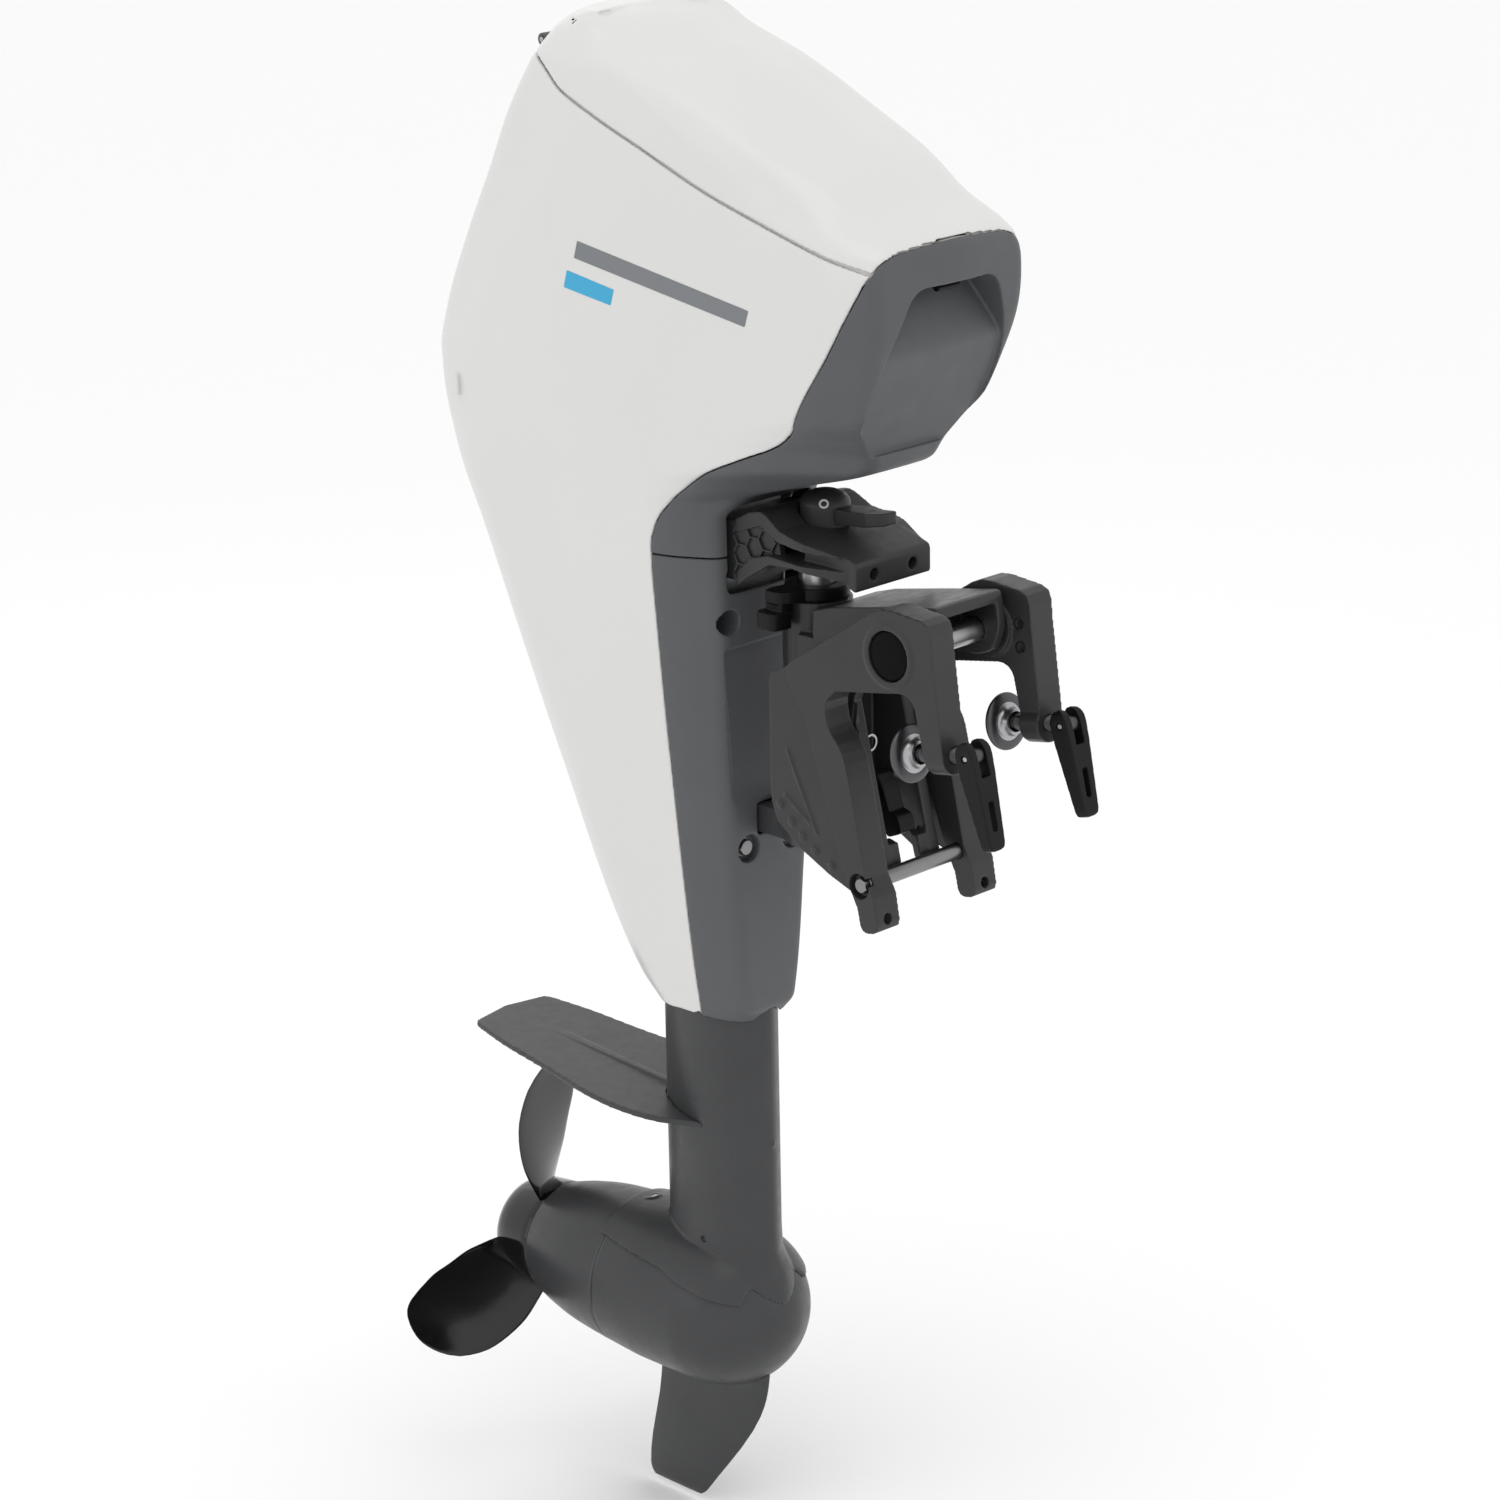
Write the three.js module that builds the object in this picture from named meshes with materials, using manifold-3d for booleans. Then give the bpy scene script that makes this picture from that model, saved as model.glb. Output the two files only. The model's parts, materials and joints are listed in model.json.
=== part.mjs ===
// Small electric outboard motor on a clamp bracket. Millimetres, +Z up, +Y aft, +X to port.
// The origin is the middle of the transom's top edge, at its outer face, when the drive leg is upright.
import * as THREE from "three";
import { mergeVertices } from "three/addons/utils/BufferGeometryUtils.js";
import Module from "manifold-3d";

const wasm = await Module();
wasm.setup();

// ---------- driving dimensions ----------
const GAP = 0.3;                       // clearance between neighbouring pieces
const RAKE = THREE.MathUtils.degToRad(10); // transom rake
const STEER_Y = 87;                    // steering axis, upright
const TILT = { y: -43, z: 35 };        // tilt axis, along X
const TILT_R = 9;                      // tilt tube radius
const SHAFT_R = 13.5;                  // steering shaft radius
const WALL = 3;                        // cowl wall
const POD_Z = -557;                    // propeller axis height
const SHAFT_MOTOR_R = 8;               // propeller shaft radius
const HALF_OUT = 64;                   // clamp bracket, outer face
const HALF_IN = 37;                    // clamp bracket, inner face
const SCREW_X = 50;                    // clamp screws, off the centre plane
const SCREW_Q = -46;                   // clamp screws, below the transom edge
const LID_HINGE = { y: 317, z: 428 };  // lid hinge axis, along X

// ---------- colours ----------
const white = { color: 0xe6e5e1, roughness: 0.42, metalness: 0 };
const grey = { color: 0x56585c, roughness: 0.55, metalness: 0 };
const charcoal = { color: 0x3b3b3d, roughness: 0.5, metalness: 0.3 };
const black = { color: 0x17171a, roughness: 0.6, metalness: 0 };
const gloss = { color: 0x0c0c0e, roughness: 0.15, metalness: 0 };
const steel = { color: 0xb9bbbe, roughness: 0.25, metalness: 1 };
const copper = { color: 0x9a5b34, roughness: 0.4, metalness: 0.9 };
const aluminium = { color: 0x9fa2a6, roughness: 0.4, metalness: 0.9 };
const rubber = { color: 0x1b1b1b, roughness: 0.8, metalness: 0 };

// ---------- geometry helpers ----------
function toSolid(geometry) {
  const bare = geometry.index ? geometry.toNonIndexed() : geometry.clone();
  bare.deleteAttribute("normal");
  bare.deleteAttribute("uv");
  const merged = mergeVertices(bare, 1e-4);
  return new wasm.Manifold(new wasm.Mesh({
    numProp: 3,
    vertProperties: new Float32Array(merged.attributes.position.array),
    triVerts: new Uint32Array(merged.index.array),
  }));
}

function toGeometry(solid) {
  const mesh = solid.getMesh();
  const geometry = new THREE.BufferGeometry();
  geometry.setAttribute("position", new THREE.BufferAttribute(new Float32Array(mesh.vertProperties), 3));
  geometry.setIndex(new THREE.BufferAttribute(new Uint32Array(mesh.triVerts), 1));
  geometry.computeVertexNormals();
  return geometry;
}

const join = (...solids) => solids.reduce((whole, next) => whole.add(next));
const cut = (solid, ...tools) => tools.reduce((whole, tool) => whole.subtract(tool), solid);
const common = (...solids) => solids.reduce((whole, next) => whole.intersect(next));

function box(x0, x1, y0, y1, z0, z1) {
  const geometry = new THREE.BoxGeometry(x1 - x0, y1 - y0, z1 - z0);
  geometry.translate((x0 + x1) / 2, (y0 + y1) / 2, (z0 + z1) / 2);
  return toSolid(geometry);
}

// Corners given as [a, b] or [a, b, radius] become a closed shape with rounded corners.
function outline(corners, steps = 2) {
  const points = [];
  corners.forEach(([a, b, radius = 0], i) => {
    const here = new THREE.Vector2(a, b);
    const before = corners.at(i - 1);
    const after = corners[(i + 1) % corners.length];
    if (!radius) {
      points.push(here);
      return;
    }
    const back = new THREE.Vector2(before[0], before[1]).sub(here);
    const ahead = new THREE.Vector2(after[0], after[1]).sub(here);
    const trim = Math.min(radius, 0.48 * back.length(), 0.48 * ahead.length());
    const from = here.clone().addScaledVector(back.normalize(), trim);
    const to = here.clone().addScaledVector(ahead.normalize(), trim);
    const bend = new THREE.QuadraticBezierCurve(from, here, to);
    points.push(...bend.getPoints(steps));
  });
  return new THREE.Shape(points);
}

const drawnOut = (depth) => ({ depth, bevelEnabled: false });

// Outlines in (Y, Z), (X, Y) or (X, Z) drawn out along X, Z or Y between two values.
function alongX(corners, x0, x1, steps) {
  const geometry = new THREE.ExtrudeGeometry(outline(corners, steps), drawnOut(x1 - x0));
  geometry.applyMatrix4(new THREE.Matrix4().makeBasis(
    new THREE.Vector3(0, 1, 0), new THREE.Vector3(0, 0, 1), new THREE.Vector3(1, 0, 0)));
  geometry.translate(x0, 0, 0);
  return toSolid(geometry);
}

function alongZ(corners, z0, z1, steps) {
  const geometry = new THREE.ExtrudeGeometry(outline(corners, steps), drawnOut(z1 - z0));
  geometry.translate(0, 0, z0);
  return toSolid(geometry);
}

function alongY(corners, y0, y1, steps) {
  const geometry = new THREE.ExtrudeGeometry(outline(corners, steps), drawnOut(y1 - y0));
  geometry.applyMatrix4(new THREE.Matrix4().makeBasis(
    new THREE.Vector3(1, 0, 0), new THREE.Vector3(0, 0, 1), new THREE.Vector3(0, -1, 0)));
  geometry.translate(0, y1, 0);
  return toSolid(geometry);
}

// A body turned about the line through `base` in direction `axis`; the profile is [distance, radius].
function turned(profile, base, axis, sides = 20) {
  const points = profile.map(([along, radius]) => new THREE.Vector2(radius, along));
  const geometry = new THREE.LatheGeometry(points, sides);
  const turn = new THREE.Quaternion().setFromUnitVectors(
    new THREE.Vector3(0, 1, 0), new THREE.Vector3(...axis).normalize());
  geometry.applyQuaternion(turn);
  geometry.translate(...base);
  const solid = toSolid(geometry);
  if (solid.volume() > 0) return solid;
  const index = geometry.index.array;
  for (let i = 0; i < index.length; i += 3) [index[i + 1], index[i + 2]] = [index[i + 2], index[i + 1]];
  return toSolid(geometry);
}

const rod = (base, axis, length, radius, sides = 16) =>
  turned([[0, 0], [0, radius], [length, radius], [length, 0]], base, axis, sides);

const ring = (base, axis, length, inner, outer, sides = 20) =>
  turned([[0, inner], [0, outer], [length, outer], [length, inner], [0, inner]], base, axis, sides);

// A closed body through rings with the same number of points, each ring counter-clockwise about the path.
function loft(rings) {
  const count = rings[0].length;
  const positions = rings.flat().flatMap((point) => point.toArray());
  const centreOf = (points) => points.reduce((sum, p) => sum.add(p), new THREE.Vector3())
    .divideScalar(points.length);
  positions.push(...centreOf(rings[0]).toArray(), ...centreOf(rings.at(-1)).toArray());
  const [low, high] = [rings.length * count, rings.length * count + 1];
  const faces = [];
  for (let i = 0; i < count; i += 1) {
    const j = (i + 1) % count;
    faces.push(low, j, i, high, (rings.length - 1) * count + i, (rings.length - 1) * count + j);
    for (let k = 0; k < rings.length - 1; k += 1) {
      const [a, b] = [k * count, (k + 1) * count];
      faces.push(a + i, a + j, b + j, a + i, b + j, b + i);
    }
  }
  const geometry = new THREE.BufferGeometry();
  geometry.setAttribute("position", new THREE.Float32BufferAttribute(positions, 3));
  geometry.setIndex(faces);
  const solid = toSolid(geometry);
  return solid.volume() > 0 ? solid : loft(rings.map((points) => [...points].reverse()));
}

// Reads a [position, value] list at a position, in straight steps.
function reading(list, at) {
  if (at <= list[0][0]) return list[0][1];
  for (let i = 1; i < list.length; i += 1) {
    const [[a, u], [b, v]] = [list[i - 1], list[i]];
    if (at <= b) return u + ((v - u) * (at - a)) / (b - a);
  }
  return list.at(-1)[1];
}

// ---------- the cowl's shape, as readings over height ----------
const COWL = {
  front: [[-302, 146], [-290, 139], [-126, 138], [0, 134], [100, 134], [108, 128], [115, 119], [133, 63],
    [153, 2], [160, -3], [315, -56.7], [320, -55], [342, -17], [370, 20], [390, 58], [414, 107], [439, 176],
    [452, 215], [457, 245]],
  rear: [[-302, 240], [-287, 257], [-260, 272], [-124, 320], [59, 382], [127, 403], [169, 411], [192, 412],
    [228, 402], [285, 376], [333, 351], [380, 328], [423, 300], [448, 281], [457, 268]],
  crease: [[-302, 222], [-260, 242], [-124, 290], [59, 352], [111, 370], [158, 371], [198, 363], [239, 343],
    [276, 319], [329, 273], [361, 254], [457, 246]],
  half: [[-302, 36], [-250, 44], [-100, 61], [60, 76], [150, 86], [200, 89], [300, 90], [420, 88], [439, 80],
    [452, 68], [457, 58]],
  flat: [[-302, 22], [-287, 28], [-189, 39], [-80, 47], [0, 50], [100, 52], [115, 42], [153, 37], [163, 38],
    [178, 48], [200, 66], [228, 70], [258, 74], [300, 76], [322, 72], [346, 71], [380, 69], [414, 65],
    [439, 58], [457, 42]],
  droop: [[200, 1], [258, 3], [300, 10], [322, 15], [333, 19], [350, 18], [380, 28], [425, 31], [457, 20]],
  flare: [[-302, 20], [-250, 30], [0, 36], [115, 42], [133, 72], [163, 78], [178, 66], [200, 46], [313, 44],
    [330, 58], [350, 68], [430, 60], [457, 12]],
};
const COWL_LEVELS = [-302, -294, -260, -189, -60, 59, 100, 115, 133, 153, 160, 178, 200, 228, 258, 285, 315,
  320, 330, 346, 370, 390, 414, 430, 444, 453, 457];
const LID_FOOT_Z = 320; // above this the front corners are rounded broadly
const REAR_BULGE = 13; // the rear face's middle stands this far aft of its corners
const REAR_INSET = 12; // the rear corners stand this far inside the widest line

// How far in the wall's inner face is, `depth` behind an outer line; `side` is 1 where aft is inwards.
function inward(list, z, depth, side) {
  let best = -Infinity;
  for (let step = -4; step <= 4; step += 1) {
    const dz = (step / 4) * depth;
    best = Math.max(best, side * reading(list, z + dz) + Math.sqrt(depth * depth - dz * dz));
  }
  return side * best;
}

// One level of the cowl, `depth` inside its outer surface.
function cowlRing(z, depth) {
  const front = inward(COWL.front, z, depth, 1);
  const rear = inward(COWL.rear, z, depth, -1);
  const half = reading(COWL.half, z) - depth;
  const flat = Math.min(reading(COWL.flat, z) - depth / 2, half - 6);
  const shoulder = Math.min(front + reading(COWL.flare, z), rear - 30);
  const crease = Math.min(Math.max(reading(COWL.crease, z), shoulder + 12), rear - 10);
  const side = [
    [flat, front + reading(COWL.droop, z), z > LID_FOOT_Z ? 26 : 9],
    [half - 4, shoulder, 26],
    [half, crease, 12],
    [half - REAR_INSET, rear, 18],
  ];
  const mirrored = side.map(([x, y, radius]) => [-x, y, radius]).reverse();
  const corners = [[0, front], ...side, [0, rear + REAR_BULGE], ...mirrored];
  return outline(corners, 2).getPoints().map((p) => new THREE.Vector3(p.x, p.y, z));
}

function cowlSolid(depth, z0, z1) {
  const levels = COWL_LEVELS.filter((z) => z > z0 && z < z1);
  return loft([z0, ...levels, z1].map((z) => cowlRing(z, depth)));
}

// ---------- lines that divide the cowl ----------
const LID_SEAM = [[-80, 303], [-51, 305], [-22, 311], [53, 331], [111, 348], [171, 371], [211, 386],
  [252, 404], [288, 424], [345, 428]];
const WHITE_EDGE = [[-58, 332], [-41, 307], [-28, 285], [-4, 245], [17, 214], [27, 197], [35, 185], [54, 171],
  [84, 158], [122, 141], [152, 122], [172, 104], [181, 88], [185, 70], [186, 3], [184, -320]];
const CHIN_SEAM_Z = 70;
const WIDE = 130; // half-length of the cutting bodies

// A thin wall across the cowl that follows a line in (Y, Z).
function slit(line, width = 0.6) {
  const shift = (side) => line.map(([y, z], i) => {
    const [a, b] = [line[Math.max(i - 1, 0)], line[Math.min(i + 1, line.length - 1)]];
    const run = new THREE.Vector2(b[0] - a[0], b[1] - a[1]).normalize();
    return [y - side * run.y * width / 2, z + side * run.x * width / 2];
  });
  return alongX([...shift(-1), ...shift(1).reverse()], -WIDE, WIDE);
}

const aboveSeam = alongX([...LID_SEAM, [345, 500], [-80, 500]], -WIDE, WIDE);
const ahead = alongX([...WHITE_EDGE, [0, -320], [-100, 0], [-100, 330]].reverse(), -WIDE, WIDE);
// The bezel's own plate, which rises in front of the lid to an arched top edge.
const bezelPlate = common(
  alongX([[-80, 286], [-30, 286], [-41, 307], [-42, 326], [-80, 330]], -WIDE, WIDE),
  alongY([[-79, 280], [79, 280], [79, 300], [72, 311], [57, 317.5, 14], [0, 323, 60], [-57, 317.5, 14],
    [-72, 311], [-79, 300]], -90, 0));
const bezelPlateClear = common(
  alongX([[-90, 285.4], [-29.4, 285.4], [-40.4, 307], [-41.4, 326.6], [-90, 331]], -WIDE, WIDE),
  alongY([[-90, 280], [90, 280], [90, 300.6], [72.5, 311.6], [57, 318.1, 14], [0, 324.6, 60],
    [-57, 318.1, 14], [-72.5, 311.6], [-90, 300.6]], -100, 10));

// ---------- leg and pod shapes ----------
const LEG = { nose: 143, tail: 252, half: 31, top: -262 };

// The leg's section: a blunt nose, full sides and a narrow tail, grown by `more`.
function legRing(z, more = 0) {
  const [y0, y1, half] = [LEG.nose - more, LEG.tail + more, LEG.half + more];
  const length = y1 - y0;
  const side = [[0.03, 0.3], [0.1, 0.62], [0.22, 0.88], [0.4, 1], [0.62, 0.94], [0.82, 0.68], [0.96, 0.34]];
  const right = side.map(([along, share]) => new THREE.Vector3(half * share, y0 + along * length, z));
  const left = side.map(([along, share]) => new THREE.Vector3(-half * share, y0 + along * length, z));
  left.reverse();
  return [new THREE.Vector3(0, y0, z), ...right, new THREE.Vector3(0, y1, z), ...left];
}

const POD = [[128, 0], [130, 13], [136, 27], [146, 42], [160, 54], [178, 61.5], [200, 65], [250, 65],
  [287, 63], [330, 59], [360, 53], [380, 47]];
const POD_SPLIT = 287;
const podRadius = (y) => reading(POD, y);
const podPoint = (y) => [0, y, POD_Z];

// The pod between two stations, grown by `more`.
function podSolid(y0, y1, more) {
  const inside = POD.filter(([y]) => y > y0 && y < y1).map(([y, r]) => [y, r + more]);
  const whole = [[y0, podRadius(y0) + more], ...inside, [y1, podRadius(y1) + more]];
  const profile = whole.filter(([, radius]) => radius > 0);
  return turned([[y0, 0], ...profile, [y1, 0]], podPoint(0), [0, 1, 0], 32);
}

// ---------- the scene ----------
const group = new THREE.Group();

function add(parent, name, solid, look) {
  const mesh = new THREE.Mesh(toGeometry(solid), new THREE.MeshStandardMaterial(look));
  mesh.name = name;
  parent.add(mesh);
  return mesh;
}

const SIDES = [["starboard", -1], ["port", 1]];
const across = (side, a, b) => [Math.min(side * a, side * b), Math.max(side * a, side * b)];

// ---------- clamp bracket, drawn square to the raked transom ----------
const clamp = new THREE.Group();
clamp.rotation.x = -RAKE;
group.add(clamp);

const tiltLocal = {
  y: TILT.y * Math.cos(RAKE) - TILT.z * Math.sin(RAKE),
  z: TILT.y * Math.sin(RAKE) + TILT.z * Math.cos(RAKE),
};
const TRIM = { y: 13, z: -143, r: 6 }; // trim rod, in the bracket's own plane
const LUG = { z: -169, r: 4.2 };       // transom bolt hole

function clampHalf(side) {
  const frame = [[0, -178, 6], [0, -152], [5, -138], [8.5, -64], [10, -46, 8], [22, -27, 6], [22, -8, 6],
    [9, 0], [-58, 0, 8], [-66, -6, 6], [-69, -46], [-87, -46], [-90, 28], [-92, 50, 9], [-47, 62, 10],
    [-16, 49], [39, 26], [60, 17, 10], [44, -20], [36, -70], [25, -138], [18, -159], [17, -178, 6]];
  const web = [[39, 26], [68, 14], [81, 11, 5], [98, -85, 6], [94, -100], [76, -119], [49, -138], [26, -151],
    [18, -159], [14, -130], [26, -60], [30, -5]];
  const body = join(
    alongX(frame, ...across(side, HALF_IN + 3, HALF_OUT)),
    alongX(web, ...across(side, 50, 57)),
    rod([side * SCREW_X, -87, SCREW_Q], [0, 1, 0], 18, 14, 24),
    rod([side * HALF_IN, tiltLocal.y, tiltLocal.z], [side, 0, 0], HALF_OUT + 1 - HALF_IN, 23, 24),
  );
  const holes = [
    rod([side * 30, tiltLocal.y, tiltLocal.z], [side, 0, 0], 60, TILT_R + GAP, 20),
    rod([side * 59, tiltLocal.y, tiltLocal.z], [side, 0, 0], 10, 18.6, 24),
    rod([side * SCREW_X, -100, SCREW_Q], [0, 1, 0], 60, 6.3, 16),
    rod([side * 30, TRIM.y, TRIM.z], [side, 0, 0], 60, TRIM.r + GAP, 14),
    rod([side * 57, TRIM.y, TRIM.z], [side, 0, 0], 10, 9.5, 14),
    rod([side * 52, -20, LUG.z], [0, 1, 0], 60, LUG.r, 12),
    rod([side * 30, -76, 28], [side, 0, 0], 14, 4, 10),
    rod([side * 30, -75, 11], [side, 0, 0], 14, 4, 10),
  ];
  const trimSeats = [[88, -87], [79, -100], [70, -110.5], [59, -120.5], [44.5, -131]].map(([y, z]) =>
    rod([side * 56, y, z], [side, 0, 0], 3, 3.4, 8));
  return cut(join(body, ...trimSeats), ...holes);
}

const PIN_P = -104; // handle pin, ahead of the transom
function clampScrew(side) {
  const x = side * SCREW_X;
  const shaft = turned([[0, 0], [0, 4.2], [8, 4.2], [8, 6], [44, 6], [44, 4.5], [48, 7], [51, 7], [51, 0]],
    [x, -99, SCREW_Q], [0, 1, 0], 16);
  const eye = box(x - 4, x + 4, PIN_P - 6, -95.5, SCREW_Q - 6, SCREW_Q + 6);
  return cut(join(shaft, eye), rod([x - 8, PIN_P, SCREW_Q], [1, 0, 0], 16, 2.8, 10));
}

// The pad presses the transom with its aft face and turns freely on the screw's ball end.
function clampPad(side) {
  const profile = [[-54, 7.6], [-54, 9.5], [-47.5, 12.5], [-46.5, 20], [-44.5, 21], [-42.4, 20], [-42, 13],
    [-43, 0], [-47, 0], [-47, 7.6], [-54, 7.6]];
  return turned(profile, [side * SCREW_X, 0, SCREW_Q], [0, 1, 0], 20);
}

// The folding handle: a tapered paddle with a forked top and a slot, drawn upright about its pin.
const HANDLE_LEAN = THREE.MathUtils.degToRad(16);
function clampHandle() {
  const face = [[-11, 5], [-9.5, 11.5, 5], [9.5, 11.5, 5], [11, 5], [7.5, -68, 5], [-7.5, -68, 5]];
  const side = [[-8, -12], [-8, 4, 5], [-4, 11.5, 5], [4, 11.5, 5], [8, 4, 5], [8, -12], [4, -68, 2],
    [-5, -68, 2]];
  const body = common(alongY(face, -20, 20), alongX(side, -20, 20));
  const fork = box(-4.4, 4.4, -20, 20, -15, 30);
  const slot = alongY([[-2.6, -54, 2], [2.6, -54, 2], [2.6, -32, 2], [-2.6, -32, 2]], -20, 20);
  const pinHole = rod([-20, 0, 0], [1, 0, 0], 40, 2.8, 10);
  return cut(body, fork, slot, pinHole);
}

for (const [name, side] of SIDES) {
  add(clamp, `clamp_bracket_${name}`, clampHalf(side), charcoal);
  const face = side * 59.3;
  add(clamp, `tilt_cap_${name}`,
    turned([[0, 0], [0, 18.2], [5, 18.2], [6.2, 16.5], [6.2, 0]], [face, tiltLocal.y, tiltLocal.z],
      [side, 0, 0], 24), black);
  add(clamp, `trim_rod_nut_${name}`,
    turned([[0, 0], [0, 7], [5, 7], [6, 5.6], [6, 0]], [side * 57.4, TRIM.y, TRIM.z], [side, 0, 0], 6),
    steel);
  add(clamp, `clamp_screw_${name}`, clampScrew(side), steel);
  add(clamp, `clamp_pad_${name}`, clampPad(side), steel);
  const hanging = new THREE.Group();
  hanging.position.set(side * SCREW_X, PIN_P, SCREW_Q);
  hanging.rotation.x = RAKE - HANDLE_LEAN;
  clamp.add(hanging);
  add(hanging, `clamp_handle_${name}`, clampHandle(), black);
  add(hanging, `handle_pin_${name}`, rod([-9.6, 0, 0], [1, 0, 0], 19.2, 2.4, 10), steel);
}
add(clamp, "trim_rod", rod([-56.8, TRIM.y, TRIM.z], [1, 0, 0], 113.6, TRIM.r, 14), steel);
add(group, "tilt_tube", rod([-58.7, TILT.y, TILT.z], [1, 0, 0], 117.4, TILT_R, 20), steel);

// ---------- swivel bracket and its parts ----------
const HOUSING = { low: -112, high: 42, r: 26 };

function swivelBracket() {
  const bridge = alongX([[-66, 40, 6], [-62, 67, 5], [-12, 58], [40, 48], [60, 42], [60, 20], [24, 16],
    [-10, 16], [-43, 16, 6], [-60, 22, 6]], -34, 34);
  const hollow = alongX([[-80, 0], [-80, 58], [-60, 58], [-12, 51], [18, 42], [18, 0]], -26, 26);
  const boss = rod([-34, TILT.y, TILT.z], [1, 0, 0], 68, 17, 24);
  const cheek = [[12, 44], [60, 40], [60, 20], [80, 20], [80, -108], [44, -124], [2, -146, 4], [-5.2, -141],
    [-1, -126], [6, -96], [24, -20], [12, 6]];
  const cheeks = [-1, 1].map((side) => alongX(cheek, ...across(side, 20, 30)));
  const back = box(-30, 30, 52, 80, -104, 20);
  const housing = rod([0, STEER_Y, HOUSING.low], [0, 0, 1], HOUSING.high - HOUSING.low, HOUSING.r, 24);
  const nose = alongX([[8, -124], [2, -145.5, 3], [-4.5, -141], [-1, -126]], -30, 30);
  const bore = rod([0, STEER_Y, -130], [0, 0, 1], 200, 18.3, 20);
  const tiltBore = rod([-60, TILT.y, TILT.z], [1, 0, 0], 120, TILT_R + GAP, 20);
  const middle = box(-26, 26, -80, -30, 16.5, 58);
  const hookSlot = box(-10, 10, -20, 30, -150, -104);
  const rear = cut(join(...cheeks, back, housing, nose), hookSlot);
  return cut(join(cut(bridge, hollow), cut(boss, middle), rear), bore, tiltBore);
}

const swivel = new THREE.Group();
group.add(swivel);
add(swivel, "swivel_bracket", swivelBracket(), black);
for (const [name, z] of [["upper", HOUSING.high - 20], ["lower", HOUSING.low]]) {
  add(swivel, `steering_bush_${name}`,
    ring([0, STEER_Y, z], [0, 0, 1], 20, SHAFT_R + GAP, 18, 20), black);
}

// Steering friction lever: a clamp ring on the shaft above the housing, with a paddle to starboard.
function frictionLever() {
  const z = HOUSING.high + 1;
  const collar = rod([0, STEER_Y, z], [0, 0, 1], 9, 24, 24);
  const arm = alongZ([[-12, 76], [-34, 80, 3], [-44, 86, 3], [-44, 100, 3], [-34, 102, 3], [-12, 98]],
    z, z + 9);
  const paddle = alongZ([[-31, 82, 2], [-42, 84, 4], [-49, 92, 6], [-47, 104, 6], [-36, 105, 4], [-30, 94, 2]],
    z - 19, z + 4);
  return cut(join(collar, arm, paddle), rod([0, STEER_Y, 20], [0, 0, 1], 60, SHAFT_R + GAP, 20));
}
add(swivel, "friction_lever", frictionLever(), black);

// Reverse lock: a hook on a cross pin, ahead of the steering housing, that can drop over the trim rod.
const LOCK = { y: 26, z: -86 };
add(swivel, "lock_pin", rod([-19.7, LOCK.y, LOCK.z], [1, 0, 0], 39.4, 3.5, 16), steel);
function lockHook() {
  const arm = alongX([[LOCK.y - 9, LOCK.z, 6], [LOCK.y, LOCK.z + 10, 6], [LOCK.y + 9, LOCK.z, 6],
    [20, -116], [12, -126, 3], [-2, -120, 3], [2, -108, 3], [10, -106]], -8, 8);
  return cut(arm, rod([-20, LOCK.y, LOCK.z], [1, 0, 0], 40, 3.5 + GAP, 16));
}
add(swivel, "reverse_lock_hook", lockHook(), black);

// ---------- steered drive: yoke, mounts and frame ----------
const drive = new THREE.Group();
group.add(drive);

add(drive, "steering_shaft",
  turned([[-152, 0], [-152, 11], [-150, SHAFT_R], [91, SHAFT_R], [93, 11], [93, 0]], [0, STEER_Y, 0],
    [0, 0, 1], 20), steel);

const KNOB = { y: 78, z: 94.4, r: 18.6 };
function steeringYoke() {
  const block = alongX([[11, 64, 3], [11, 86, 3], [24, 90], [45, 95], [62, 98], [62, 78], [24, 70]], -39, 39);
  const top = common(
    alongX([[20, 88], [45, 95], [78, 101], [97, 112, 6], [112, 108], [128, 100], [128, 90], [100, 100],
      [80, 92]], -52, 52),
    alongZ([[-39, 18], [39, 18], [52, 52, 8], [42, 130], [-42, 130], [-52, 52, 8]], 60, 130));
  const bottom = common(
    alongX([[20, 71], [64, 76], [90, 73], [115, 59], [128, 50], [128, 60], [112, 74], [90, 80], [20, 79]],
      -52, 52),
    alongZ([[-39, 18], [39, 18], [52, 52, 8], [42, 130], [-42, 130], [-52, 52, 8]], 40, 130));
  const cheeks = [-1, 1].map((side) => alongX([[104, 66], [104, 104], [129, 94], [129, 54]],
    ...across(side, 34, 40)));
  const root = box(-38, 38, 126, 151.7, 52, 97);
  const hub = rod([0, STEER_Y, 74], [0, 0, 1], 25, 22, 20);
  const bore = rod([0, STEER_Y, 40], [0, 0, 1], 62, SHAFT_R + GAP, 20);
  const tillerHoles = [-20, 20].map((x) => rod([x, 0, 75], [0, 1, 0], 34, 4.5, 16));
  const knobSeat = rod([0, KNOB.y, KNOB.z - GAP], [0, 0, 1], 40, KNOB.r + 1, 24);
  return cut(join(block, top, bottom, ...cheeks, root, hub), bore, knobSeat, ...tillerHoles);
}
add(drive, "steering_yoke", steeringYoke(), black);

// Tiller lock: a domed knob on the yoke with a lever reaching forward.
function tillerLockKnob() {
  const knob = turned([[0, 0], [0, KNOB.r], [19, KNOB.r], [25, 15], [28, 9], [28, 0]],
    [0, KNOB.y, KNOB.z], [0, 0, 1], 24);
  const lever = common(
    alongZ([[-9, 60], [-9, 30], [-4, 16, 5], [8, 14, 4], [10, 30], [10, 60]], 90, 130),
    alongX([[60, 101], [34, 103], [14, 106, 2], [14, 116, 3], [30, 114], [60, 112]], -20, 20));
  return join(knob, lever);
}
add(drive, "tiller_lock_knob", tillerLockKnob(), black);

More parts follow.
